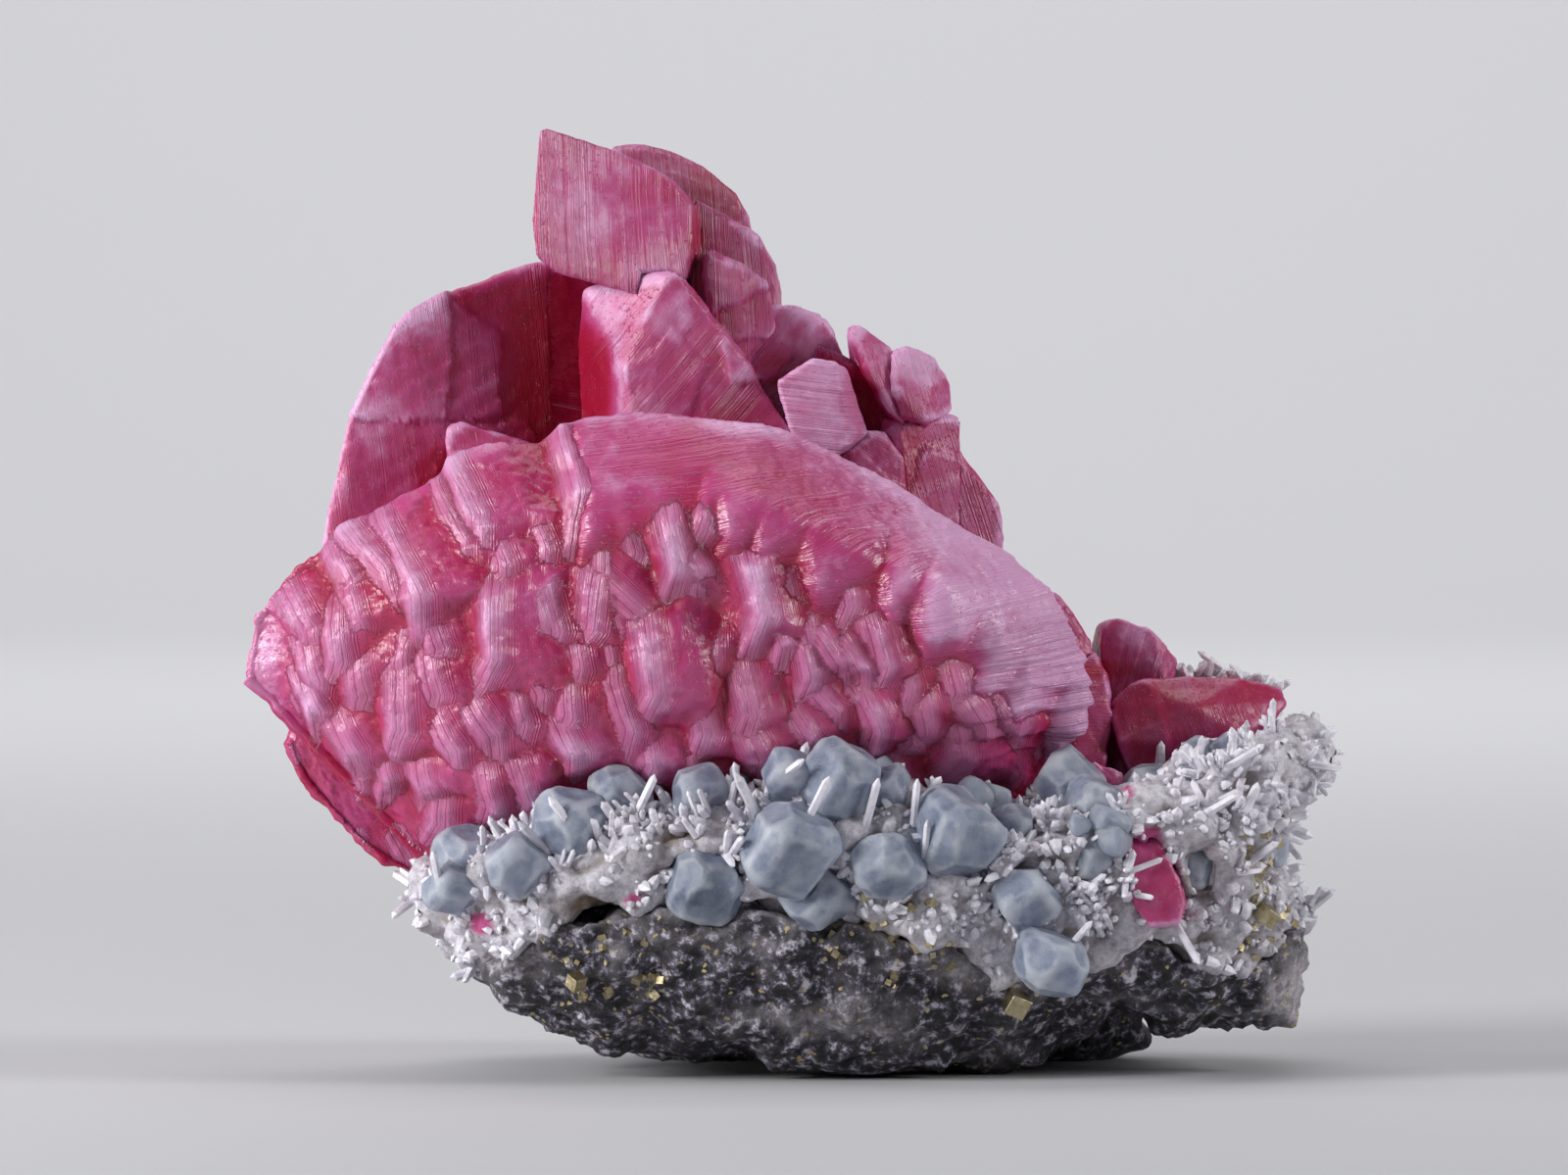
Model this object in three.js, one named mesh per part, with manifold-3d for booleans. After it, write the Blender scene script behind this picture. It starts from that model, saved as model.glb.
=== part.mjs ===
// A rhodochrosite specimen: rhombohedral crystals with fluorite, quartz and pyrite on their matrix.
// Millimetres. +X runs to the right of the display side, +Y away from it, +Z up.
// The origin is at the middle of the bounding box's underside.
import * as THREE from "three";
import { ConvexGeometry } from "three/addons/geometries/ConvexGeometry.js";
import { LoftGeometry } from "three/addons/geometries/LoftGeometry.js";
import { mergeVertices } from "three/addons/utils/BufferGeometryUtils.js";
import Module from "manifold-3d";

const wasm = await Module();
wasm.setup();

const GAP = 0.3; // clearance kept between neighbouring crystals
const EMBED = 1.2; // how deep a quartz needle's root sits in the crust
const BEVELLED = 0.68; // a fluorite cube's edge bevels start at this share of its half size
const SHARP = 0.95; // and a pyrite cube's at this
const RING_POINTS = 22; // points round each section of the matrix
const SECTION_STEP = 4; // distance between the lofted sections
const TALL = 200; // height of the cutters, well above the specimen

const MINERALS = {
  matrix: { color: 0x6f6c70, roughness: 0.9, metalness: 0 },
  crust: { color: 0xd2cdcb, roughness: 0.7, metalness: 0 },
  rhodochrosite: { color: 0xc4486f, roughness: 0.4, metalness: 0 },
  fluorite: { color: 0xa9b9c9, roughness: 0.3, metalness: 0 },
  quartz: { color: 0xe9e6ee, roughness: 0.25, metalness: 0 },
  pyrite: { color: 0x9a8250, roughness: 0.3, metalness: 0.9 },
};

// ---------------------------------------------------------------- solids

// The closed solid of a geometry, for joining and cutting.
function solidOf(geometry) {
  const bare = geometry.index ? geometry.toNonIndexed() : geometry.clone();
  bare.deleteAttribute("normal");
  bare.deleteAttribute("uv");
  const merged = mergeVertices(bare, 1e-4);
  return new wasm.Manifold(
    new wasm.Mesh({
      numProp: 3,
      vertProperties: merged.attributes.position.array,
      triVerts: new Uint32Array(merged.index.array),
    }),
  );
}

// The geometry of a solid.
function geometryOf(solid) {
  const mesh = solid.getMesh();
  const geometry = new THREE.BufferGeometry();
  geometry.setAttribute("position", new THREE.BufferAttribute(mesh.vertProperties, 3));
  geometry.setIndex(new THREE.BufferAttribute(mesh.triVerts, 1));
  return geometry;
}

// The convex solid around some corners, swollen by grow on every side.
function hull(corners, grow = 0) {
  const sides = grow ? [-grow, grow] : [0];
  const points = corners.flatMap(([x, y, z]) =>
    sides.flatMap((i) => sides.flatMap((j) => sides.map((k) => new THREE.Vector3(x + i, y + j, z + k)))),
  );
  return solidOf(new ConvexGeometry(points));
}

const join = (solids) => solids.reduce((whole, next) => whole.add(next));

// Corners of a crystal: its front face, and the same face carried along the crystal's third
// edge to the back, drawn in a little towards its middle.
function prism(face, edge, taper = 0.9) {
  const middle = [0, 1, 2].map((k) => face.reduce((sum, p) => sum + p[k], 0) / face.length);
  const back = face.map((p) => p.map((v, k) => middle[k] + (v - middle[k]) * taper + edge[k]));
  return [...face, ...back];
}

// ---------------------------------------------------------------- rhodochrosite

// Each crystal, or group of crystals grown through each other, is a list of convex blocks that
// join in one solid. Every one of them is rooted in the crust or in a crystal that is.
const RHODOCHROSITE = {
  rhodochrosite_front: [
    [
      [-66, -12, 48.5], [-65, -12, 55.5], [-59.5, -13, 61.8], [-44, -16, 67.6], [-36, -18, 75.2],
      [-24.5, -19, 76.8], [-15, -19, 78], [-4, -18, 77], [4, -17, 73.4], [15, -17, 68],
      [25, -16, 62.3], [30.5, -15, 57.5], [34, -15, 49], [35.3, -15, 42.2], [29, -13, 32.6],
      [14, -19, 32], [-10, -21, 31], [-30, -19, 27], [-42, -13, 24], [-61, -13, 43.6],
      [-44, -25, 58], [-40, -26, 48], [-22, -29, 66], [-20, -30, 50], [-4, -29, 68],
      [6, -30, 52], [18, -29, 58], [22, -28, 46], [-35, -26, 36], [-6, -29, 40],
      [-54, -3, 48], [-38, 0, 66], [-15, -1, 72], [16, -1, 60], [28, -4, 48], [24, -2, 38],
      [-5, -2, 30], [-36, -3, 26],
    ],
    prism(
      [
        [-60, -9, 45], [-61.2, -8, 40], [-59.5, -8, 36], [-53.5, -9, 29.2], [-49, -9, 25.6],
        [-43.5, -9, 22.8], [-38, -8, 26],
      ],
      [4, 13, 4],
    ),
  ],
  rhodochrosite_left: [
    [
      [-55.9, -3, 64.5], [-55, -3, 58], [-53.4, -4, 72], [-52.9, -4, 79], [-50, -4, 85.5],
      [-46.8, -4, 91.6], [-40, -2, 95.6], [-29.5, 3, 99.2], [-26, 6, 97.6], [-26, 8, 78],
      [-28, 8, 60], [-42, 0, 25], [-27, 3, 27], [-49, 14, 62], [-47, 14, 80], [-41, 15, 90],
      [-28, 19, 92], [-23, 20, 84], [-24, 20, 52], [-38, 13, 25], [-25, 17, 27],
    ],
    prism(
      [
        [-40.8, -7, 79.2], [-39, -7, 78], [-36.5, -7, 75.9], [-31, -6, 76.4], [-30, -5, 66],
        [-41, -6, 66],
      ],
      [2, 11, -1],
    ),
  ],
  rhodochrosite_centre: [
    [
      [-13.8, -12, 98], [-12.6, -11, 97.1], [-8.4, -9, 91.7], [-5, -9, 85.8], [0.8, -8, 78],
      [1.6, -7, 74.5], [1, -6, 60], [-24.6, -3, 95.6], [-25.2, -1, 90], [-22, 0, 77],
      [-22, 0, 58], [-19.5, -10, 86], [-17, -9, 76], [-18, 12, 93], [-9, 12, 87],
      [-1, 12, 72], [-21, 3, 29], [-1, 3, 29], [-20, 15, 29], [-2, 15, 29],
    ],
    prism(
      [
        [-8, -1, 92.2], [-5, -1, 93.2], [1, 0, 93], [4.6, 0, 91.8], [6.7, 1, 88], [9.8, 2, 79],
        [9.5, 2, 30], [-4, 1, 30],
      ],
      [1, 15, -2],
    ),
  ],
  rhodochrosite_top: [
    prism(
      [
        [-29.6, -8, 115.2], [-30.4, -8, 104], [-29.9, -8.5, 99.4], [-28, -9, 97.9],
        [-15.8, -10, 94.4], [-12.5, -9, 97], [-11.4, -8, 100], [-11.5, -7, 106],
        [-14, -7, 109], [-20, -7, 112.2],
      ],
      [3, 13, -1],
      0.84,
    ),
    prism(
      [
        [-21, 1, 113], [-18, 1, 113.4], [-14, 2, 112.4], [-10, 3, 110.5], [-6, 4, 107.2],
        [-4.4, 4, 104.5], [-4.6, 4, 100], [-8, 3, 88], [-20, 1, 86],
      ],
      [1, 13, -4],
    ),
    prism(
      [
        [-11, -2, 106.4], [-8, -2, 105], [-3.2, -1, 101.8], [-1.2, 0, 98.5], [-1.1, 0, 94.5],
        [-3, -1, 86], [-11, -3, 86],
      ],
      [1, 14, -3],
    ),
    prism(
      [
        [-9.3, -5, 100.3], [-7, -5, 99.2], [-2, -3, 95.4], [-1.5, -2, 91], [-6, -5, 86],
        [-9, -5, 90],
      ],
      [1, 9, -2],
    ),
  ],
  rhodochrosite_small_rhomb: [
    [
      [-0.6, -13, 84.3], [3.6, -13, 87], [6, -12.5, 86.7], [8, -13.5, 78.5], [6.8, -14, 76.4],
      [2.2, -15, 74], [7.4, -9, 85.8], [9.9, -9.5, 78.2], [1.5, 2, 85.5], [7.2, 3, 84],
      [9, 3, 77], [3.5, 1, 72.5],
    ],
  ],
  rhodochrosite_dome: [
    prism(
      [
        [5.6, -6, 71], [6.4, -6, 75], [8.4, -7, 78.3], [12, -6, 78.1], [14.2, -5, 75],
        [15, -4, 70], [14, -4, 58], [6, -5, 58],
      ],
      [1, 10, -1],
    ),
  ],
  rhodochrosite_right: [
    [
      [8.2, -3, 91.2], [11, -3, 89.2], [13.2, -2, 88], [14.8, -4, 79], [13, -5, 81],
      [11, -5, 84.5], [8.4, 0, 86.5], [9.5, 6, 86.5], [12.6, 6, 85], [12, 6, 78],
    ],
    prism(
      [
        [13.4, -3, 88], [15, -3, 88.7], [18.2, -2, 87.2], [20, 0, 83.8], [20.4, 0, 81],
        [17, -5, 79.5], [14.5, -5, 80], [13.2, -5, 84],
      ],
      [0, 10, -1],
    ),
    prism(
      [
        [9.9, 0, 80.4], [14, -4, 79], [21.3, 0, 80], [21.1, 0, 76], [20, -1, 40], [12, -2, 40],
        [10, -1, 72],
      ],
      [0, 12, -2],
    ),
    prism(
      [
        [20.8, 2, 76], [22.3, 2, 74.2], [25.7, 3, 70.2], [26.6, 3, 66], [26.3, 3, 60],
        [24, 3, 30], [10, 2, 30], [12, 0, 70], [16, 0, 72],
      ],
      [0, 16, -2],
    ),
  ],
  rhodochrosite_shoulder: [
    prism(
      [
        [28, -4, 59.4], [31, -5, 59], [33.3, -5, 58.4], [36, -4, 54.2], [37.6, -3, 52.3],
        [37, -4, 46], [34, -5, 29], [26, -4, 29],
      ],
      [-1, 12, -1],
    ),
  ],
  rhodochrosite_column: [
    prism(
      [
        [34, -8, 48], [38, -5, 51], [39.3, -6, 48.5], [40, -7, 44], [38.8, -8, 38],
        [37.5, -9, 30], [33.5, -8, 30],
      ],
      [0, 8, 0],
    ),
  ],
  rhodochrosite_fan: [
    prism(
      [
        [39.1, 0, 52], [39.3, 0, 54.4], [41, 0, 54.9], [45, -1, 53.6], [48, -1, 50],
        [46.4, -3, 48.6], [44, -3, 33], [39, -2, 32],
      ],
      [-1, 10, 0],
    ),
  ],
  rhodochrosite_long: [
    [
      [39.8, -6, 45], [43, -6, 47.6], [50, -5, 48], [56, -4, 47.8], [60.9, -3, 46.3],
      [61.5, -4, 45.1], [59, -6, 42.7], [56, -8, 41.3], [47, -9, 40.6], [41, -9, 40.5],
      [50, -9, 44.5], [44, 6, 46], [57, 5, 45], [55, 3, 36], [43, 3, 34], [44, -6, 34],
      [54, -5, 36],
    ],
  ],
  rhodochrosite_notch: [
    prism(
      [
        [36.2, -19, 36], [37.5, -19, 38.2], [40.9, -18, 37], [42, -18, 33.5], [41, -18, 29],
        [37, -18, 30],
      ],
      [0, 6, -1],
    ),
  ],
  rhodochrosite_vein: [
    prism(
      [
        [41.2, -29.5, 30.5], [44, -29, 30.8], [45.8, -30.5, 28.4], [47.2, -31, 25],
        [48.2, -31, 21.5], [47.4, -31.5, 19.4], [44, -32, 19.2], [42.2, -32, 21.5],
        [41, -31.5, 28],
      ],
      [0, 9, 0],
      0.8,
    ),
  ],
};

// ---------------------------------------------------------------- fluorite

// A crystal's cube, turned by three angles, whose edges are cut back to a share of its half size.
function cubeCorners([x, y, z], size, turn, cut) {
  const rotation = new THREE.Euler(...turn);
  const corners = [];
  for (const a of [-1, 1])
    for (const b of [-1, 1])
      for (const c of [-1, 1])
        for (const p of [[a, b * cut, c * cut], [a * cut, b, c * cut], [a * cut, b * cut, c]])
          corners.push(new THREE.Vector3(...p).multiplyScalar(size).applyEuler(rotation));
  return corners.map((p) => [x + p.x, y + p.y, z + p.z]);
}

// Centre, half size and turn of each fluorite.
const FLUORITE = [
  [[-38.5, -22, 26.6], 3.2, [0.4, 0.2, 0.5]],
  [[-40, -26, 23.6], 2.7, [0.9, 0.5, 0.1]],
  [[-32.5, -31, 26.6], 2.9, [0.2, 0.7, 0.3]],
  [[-25.3, -29, 31.5], 3.8, [0.5, 0.1, 0.9]],
  [[-20, -27.5, 34.4], 3.2, [0.3, 0.8, 0.2]],
  [[-10.4, -30, 35.2], 2.7, [0.7, 0.3, 0.4]],
  [[0.6, -36.2, 28.8], 4.6, [0.35, 0.5, 0.25]],
  [[6.8, -32, 36.4], 4, [0.1, 0.6, 0.75]],
  [[12, -31, 35.6], 2.6, [0.6, 0.2, 0.5]],
  [[0.3, -32, 37.5], 2.6, [0.8, 0.6, 0.2]],
  [[21, -33, 30.2], 4.6, [0.25, 0.3, 0.5]],
  [[12.5, -36.5, 26.5], 3.3, [0.5, 0.9, 0.3]],
  [[27.6, -29, 30.6], 2.4, [0.2, 0.4, 0.9]],
  [[34.6, -20, 36], 3.1, [0.9, 0.3, 0.65]],
  [[37.6, -25, 32.2], 3.6, [0.15, 0.35, 0.2]],
  [[37, -30, 27.2], 2.7, [0.6, 0.5, 0.7]],
  [[43.8, -16, 34.8], 2.9, [0.4, 0.2, 0.6]],
  [[50.8, -14, 35.4], 4.2, [0.55, 0.7, 0.3]],
  [[49.6, -24.5, 26.3], 2.6, [0.3, 0.1, 0.8]],
  [[57.2, -16, 28.5], 3.3, [0.7, 0.4, 0.1]],
  [[32, -34.5, 14.8], 3.4, [0.45, 0.25, 0.35]],
  [[29, -33.5, 22.6], 3, [0.2, 0.9, 0.5]],
  [[-9.5, -32.5, 24.6], 3.9, [0.6, 0.3, 0.15]],
  [[4.2, -33, 22.4], 3.4, [0.35, 0.65, 0.8]],
];

// ---------------------------------------------------------------- pyrite

// Centre, half size and turn of each pyrite cube.
const PYRITE = [
  [[28, -28.2, 9.6], 1.3, [0.3, 0.5, 0.2]],
  [[-25, -31, 12.4], 0.9, [0.6, 0.2, 0.7]],
  [[58.4, -24.6, 20], 1, [0.2, 0.7, 0.4]],
];

// ---------------------------------------------------------------- quartz

// Root, tip and radius of each large quartz needle.
const QUARTZ = [
  [[-41.2, -28, 22.5], [-42.3, -30, 28], 0.5],
  [[-29, -31, 28.6], [-31.9, -33, 31.7], 0.55],
  [[-25.4, -33, 31], [-28.2, -35, 34.8], 0.55],
  [[-3.4, -34, 32.8], [-5.8, -36, 37.7], 0.62],
  [[-2.2, -34, 35.8], [2.4, -37, 39.4], 0.5],
  [[3.2, -37.2, 32.9], [5.4, -39, 37.4], 0.5],
  [[9.8, -35, 31.2], [11.3, -36.5, 37.1], 0.52],
  [[15.6, -34, 32.4], [16, -35.5, 37], 0.5],
  [[16.8, -36, 27], [17.2, -38, 32.2], 0.45],
  [[49.6, -12, 40.2], [56, -13, 41.1], 0.42],
  [[56, -9, 38.8], [56.4, -11, 43.1], 0.5],
  [[55.6, 2, 47.9], [50.8, 0, 51.2], 0.5],
  [[37.8, -32, 20.8], [35, -34, 23.6], 0.4],
  [[34.2, -35, 16.8], [36.9, -37, 20], 0.42],
  [[47.8, -30, 18.2], [49.9, -32.5, 14.6], 0.45],
];

// A six-sided prism with a blunt pyramid at its tip, standing on the origin along +Y.
function needleGeometry(length, radius) {
  const profile = [[0, 0], [radius, 0], [radius, length - 1.6 * radius], [radius * 0.25, length], [0, length]];
  return new THREE.LatheGeometry(profile.map((p) => new THREE.Vector2(...p)), 6);
}

// ---------------------------------------------------------------- matrix

// Sections of the whole matrix, crust included, at stations along X. Each gives the front lip's
// place and height, the broken front face, the underside and the back.
const STATIONS = [
  { x: -44.4, bottom: 21, top: 25.4, front: -17, back: 2, tuck: 0.3 },
  { x: -42, bottom: 17.4, top: 26.4, front: -25, back: 12, tuck: 0.3 },
  { x: -38, bottom: 13, top: 27.4, front: -29, back: 20, tuck: 0.25 },
  { x: -32, bottom: 8.6, top: 28.6, front: -32, back: 26, tuck: 0.25 },
  { x: -24, bottom: 3.8, top: 31, front: -34, back: 30, tuck: 0.3 },
  { x: -15, bottom: 3.2, top: 33.4, front: -35.5, back: 33, tuck: 0.35 },
  { x: -6, bottom: 2.4, top: 34.6, front: -36.5, back: 35, tuck: 0.35 },
  { x: 2, bottom: 0, top: 35.4, front: -37, back: 36, tuck: 0.35 },
  { x: 11, bottom: -0.5, top: 35, front: -37, back: 36, tuck: 0.35 },
  { x: 19, bottom: 0.6, top: 33.6, front: -36.5, back: 36, tuck: 0.45 },
  { x: 27, bottom: -0.5, top: 32, front: -36, back: 35, tuck: 0.6 },
  { x: 34, bottom: 3.8, top: 32.4, front: -35, back: 34, tuck: 0.6 },
  { x: 41, bottom: 7.8, top: 34, front: -33, back: 32, tuck: 0.4 },
  { x: 48, bottom: 5.2, top: 37, front: -31, back: 30, tuck: 0.4 },
  { x: 55, bottom: 6, top: 38.6, front: -28, back: 27, tuck: 0.4 },
  { x: 60, bottom: 5.4, top: 40, front: -24, back: 22, tuck: 0.4 },
  { x: 63, bottom: 8, top: 41, front: -19, back: 15, tuck: 0.4 },
  { x: 64.6, bottom: 26, top: 41, front: -13, back: 10, tuck: 0.4 },
  { x: 66, bottom: 32, top: 39.5, front: -8, back: 6, tuck: 0.4 },
];

// Lumps under the back of the matrix, which with its front keel hold it level: centre and reach.
const FEET = [
  [[-11, 21, 4], [10, 11, 6]],
  [[35, 19, 5], [10, 11, 7]],
];

// Where the dark rock ends and the pale crust begins, along X.
const CRUST_FOOT = [
  [-70, 10], [-44, 13], [-36, 13.5], [-30, 17], [-22, 20.5], [-10, 22], [0, 21], [9, 19.5],
  [18, 17], [26, 12.6], [32, 11.4], [38, 14.4], [44, 17], [50, 14.4], [57, 13.6], [62, 18], [70, 24],
];

// One section's ring of points, smoothed through its named places.
function sectionRing({ x, bottom, top, front, back, tuck }) {
  const height = top - bottom;
  const at = (y, share) => new THREE.Vector3(x, y, bottom + height * share);
  const places = [
    at(front * 0.35, 0),
    at(front * (0.98 - tuck), 0.02 + 0.1 * tuck),
    at(front * (1 - 0.4 * tuck), 0.3),
    at(front * (1 - 0.3 * tuck), 0.5),
    at(front, 0.8),
    at(front * 0.86, 1),
    at(front * 0.3, 1),
    at(back * 0.5, 0.97),
    at(back * 0.9, 0.86),
    at(back, 0.55),
    at(back * 0.9, 0.22),
    at(back * 0.45, 0.06),
  ];
  const ring = new THREE.CatmullRomCurve3(places, true, "centripetal");
  return ring.getSpacedPoints(RING_POINTS).slice(0, RING_POINTS).reverse();
}

// A station between two neighbours, so that the loft bends smoothly.
function stationAt(x) {
  const next = Math.max(1, STATIONS.findIndex((s) => s.x >= x));
  const [a, b] = [STATIONS[next - 1], STATIONS[next]];
  const t = THREE.MathUtils.smoothstep(x, a.x, b.x) * 0.5 + ((x - a.x) / (b.x - a.x)) * 0.5;
  const mix = (key) => THREE.MathUtils.lerp(a[key], b[key], t);
  return { x, bottom: mix("bottom"), top: mix("top"), front: mix("front"), back: mix("back"), tuck: mix("tuck") };
}

function wholeMatrix() {
  const [first, last] = [STATIONS[0].x, STATIONS[STATIONS.length - 1].x];
  const steps = Math.round((last - first) / SECTION_STEP);
  const sections = Array.from({ length: steps + 1 }, (_, i) =>
    sectionRing(stationAt(first + ((last - first) * i) / steps)),
  );
  const loft = solidOf(new LoftGeometry(sections, { capStart: true, capEnd: true }));
  const feet = FEET.map(([centre, reach]) => {
    const foot = new THREE.IcosahedronGeometry(1, 2).scale(...reach).translate(...centre);
    return solidOf(foot);
  });
  return join([loft, ...feet]).subtract(blockBelowGround());
}

// The space under the surface that the specimen stands on, which cuts its feet flat.
function blockBelowGround() {
  return solidOf(new THREE.BoxGeometry(TALL, TALL, TALL).translate(0, 0, -TALL / 2));
}

// Everything above the crust's foot, moved by lift, as a cutter.
function aboveCrustFoot(lift) {
  const curve = new THREE.SplineCurve(CRUST_FOOT.map(([x, z]) => new THREE.Vector2(x, z + lift)));
  const outline = [...curve.getPoints(28), new THREE.Vector2(70, TALL), new THREE.Vector2(-70, TALL)];
  const block = new THREE.ExtrudeGeometry(new THREE.Shape(outline), { depth: TALL, bevelEnabled: false });
  return solidOf(block.translate(0, 0, -TALL / 2).rotateX(Math.PI / 2));
}

// ---------------------------------------------------------------- assembly

const part = new THREE.Group();

// Adds a named mesh whose own origin is at the middle of the piece.
function place(name, mineral, solid) {
  const geometry = geometryOf(solid);
  geometry.computeBoundingBox();
  const centre = geometry.boundingBox.getCenter(new THREE.Vector3());
  const mesh = new THREE.Mesh(
    geometry.translate(-centre.x, -centre.y, -centre.z),
    new THREE.MeshStandardMaterial({ ...MINERALS[mineral], flatShading: true }),
  );
  mesh.name = name;
  mesh.position.copy(centre);
  part.add(mesh);
}

// The largest body of a solid; cutting can leave loose slivers beside it.
function largest(solid) {
  return solid.decompose().reduce((best, body) => (body.volume() > best.volume() ? body : best));
}

const sockets = []; // the crystals placed so far, each grown by the gap

// Adds a crystal, cut clear of those placed before it, and keeps its socket for the ones after.
function placeCrystal(name, mineral, solid, socket) {
  for (const earlier of sockets) solid = solid.subtract(earlier);
  sockets.push(socket);
  place(name, mineral, largest(solid));
}

const numbered = (stem, i) => `${stem}_${String(i + 1).padStart(2, "0")}`;

for (const [name, blocks] of Object.entries(RHODOCHROSITE)) {
  const grown = (grow) => join(blocks.map((corners) => hull(corners, grow)));
  placeCrystal(name, "rhodochrosite", grown(0), grown(GAP));
}

FLUORITE.forEach(([centre, size, turn], i) => {
  const sized = (half) => hull(cubeCorners(centre, half, turn, BEVELLED));
  placeCrystal(numbered("fluorite", i), "fluorite", sized(size), sized(size + GAP));
});

PYRITE.forEach(([centre, size, turn], i) => {
  const sized = (half) => hull(cubeCorners(centre, half, turn, SHARP));
  placeCrystal(numbered("pyrite_cube", i), "pyrite", sized(size), sized(size + GAP));
});

QUARTZ.forEach(([root, tip, radius], i) => {
  const [from, to] = [new THREE.Vector3(...root), new THREE.Vector3(...tip)];
  const axis = to.clone().sub(from).normalize();
  from.addScaledVector(axis, -EMBED);
  const turn = new THREE.Quaternion().setFromUnitVectors(new THREE.Vector3(0, 1, 0), axis);
  const sized = (length, r) =>
    solidOf(needleGeometry(length, r).applyQuaternion(turn).translate(from.x, from.y, from.z));
  const length = to.distanceTo(from);
  placeCrystal(numbered("quartz_needle", i), "quartz", sized(length, radius), sized(length + GAP, radius + GAP));
});

const whole = wholeMatrix();
let crust = whole.intersect(aboveCrustFoot(GAP / 2));
let rock = whole.subtract(aboveCrustFoot(-GAP / 2));
for (const socket of sockets) {
  crust = crust.subtract(socket);
  rock = rock.subtract(socket);
}
place("quartz_crust", "crust", largest(crust));
place("matrix_rock", "matrix", largest(rock));

const box = new THREE.Box3().setFromObject(part);
const middle = box.getCenter(new THREE.Vector3());
part.position.set(-middle.x, -middle.y, -box.min.z);

export default part;
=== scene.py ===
"""A rhodochrosite specimen: grown crystal surfaces, drusy quartz, fluorite and broken rock.

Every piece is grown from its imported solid. Crystals keep the solid's own faces, cut fine, and the
crust and the rock get an even skin. Both are then moved in or out by the forms that the mineral
grows in. Lengths are millimetres until a mesh is stored, which is metres.
"""
import bpy
import bmesh
import math
import numpy as np
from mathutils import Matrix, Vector


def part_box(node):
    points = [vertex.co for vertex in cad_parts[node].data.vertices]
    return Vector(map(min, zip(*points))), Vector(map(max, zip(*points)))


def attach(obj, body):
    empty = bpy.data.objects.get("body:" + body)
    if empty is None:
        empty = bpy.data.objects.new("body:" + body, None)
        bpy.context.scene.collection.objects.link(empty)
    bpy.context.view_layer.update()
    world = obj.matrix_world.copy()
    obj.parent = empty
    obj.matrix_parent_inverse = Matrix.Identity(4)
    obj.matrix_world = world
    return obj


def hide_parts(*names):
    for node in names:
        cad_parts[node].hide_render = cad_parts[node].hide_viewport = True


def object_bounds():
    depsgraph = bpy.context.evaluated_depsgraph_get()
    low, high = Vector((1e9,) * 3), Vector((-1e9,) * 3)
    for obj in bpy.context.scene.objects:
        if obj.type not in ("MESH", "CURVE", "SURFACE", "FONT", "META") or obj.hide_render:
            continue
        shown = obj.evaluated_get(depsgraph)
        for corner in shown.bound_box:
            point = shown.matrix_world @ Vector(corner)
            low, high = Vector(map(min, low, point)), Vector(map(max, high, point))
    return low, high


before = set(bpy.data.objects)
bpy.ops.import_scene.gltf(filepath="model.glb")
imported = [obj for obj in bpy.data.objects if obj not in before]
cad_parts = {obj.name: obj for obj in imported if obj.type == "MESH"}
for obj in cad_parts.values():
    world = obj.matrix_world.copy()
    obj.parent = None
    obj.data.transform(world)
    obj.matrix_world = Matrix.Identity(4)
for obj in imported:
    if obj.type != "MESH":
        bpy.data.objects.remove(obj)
cad_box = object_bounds()

MM = 0.001
SEED = 20
GROWN = 0.25  # how far every grown surface stands off its solid, which closes the gaps between
THROUGH = 90  # half depth of a spot that reaches right through the specimen


def placed(name, data):
    """A new object in the scene."""
    thing = bpy.data.objects.new(name, data)
    bpy.context.scene.collection.objects.link(thing)
    return thing


# ---------- camera, floor and light

CAMERA_DISTANCE = 1.5
CAMERA_ELEVATION = math.radians(1.5)
AIM_HEIGHT = 0.513  # the height that the camera looks at, as a share of the specimen's
FIELD_WIDTH = 0.192  # width of the view at the specimen, in metres
SENSOR = 36.0


def set_camera():
    aim = Vector((0, 0, cad_box[1].z * AIM_HEIGHT))
    camera = placed("camera", bpy.data.cameras.new("camera"))
    away = Vector((0, -math.cos(CAMERA_ELEVATION), math.sin(CAMERA_ELEVATION)))
    camera.location = aim + away * CAMERA_DISTANCE
    camera.rotation_mode = "QUATERNION"
    camera.rotation_quaternion = (-away).to_track_quat("-Z", "Y")
    camera.data.sensor_width = SENSOR
    camera.data.lens = SENSOR * CAMERA_DISTANCE / FIELD_WIDTH
    camera.data.clip_start = 0.05
    camera.data.clip_end = 20
    bpy.context.scene.camera = camera


def add_floor():
    """A level floor that curves up into a wall far behind the specimen."""
    half, rise, bend, front, back, parts = 4.0, 4.0, 0.8, -4.0, 1.8, 12
    profile = [(front, 0.0), (back, 0.0)]
    for i in range(1, parts + 1):
        turn = math.pi / 2 * i / parts
        profile.append((back + bend * math.sin(turn), bend * (1 - math.cos(turn))))
    profile.append((back + bend, rise))
    verts = [(x, y, z) for y, z in profile for x in (-half, half)]
    faces = [(2 * i, 2 * i + 1, 2 * i + 3, 2 * i + 2) for i in range(len(profile) - 1)]
    mesh = bpy.data.meshes.new("floor")
    mesh.from_pydata(verts, [], faces)
    mesh.shade_smooth()
    floor = placed("floor", mesh)
    paper = bpy.data.materials.new("paper")
    paper.use_nodes = True
    shader = paper.node_tree.nodes["Principled BSDF"]
    shader.inputs["Base Color"].default_value = (0.52, 0.52, 0.54, 1)
    shader.inputs["Roughness"].default_value = 0.75
    mesh.materials.append(paper)


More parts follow.
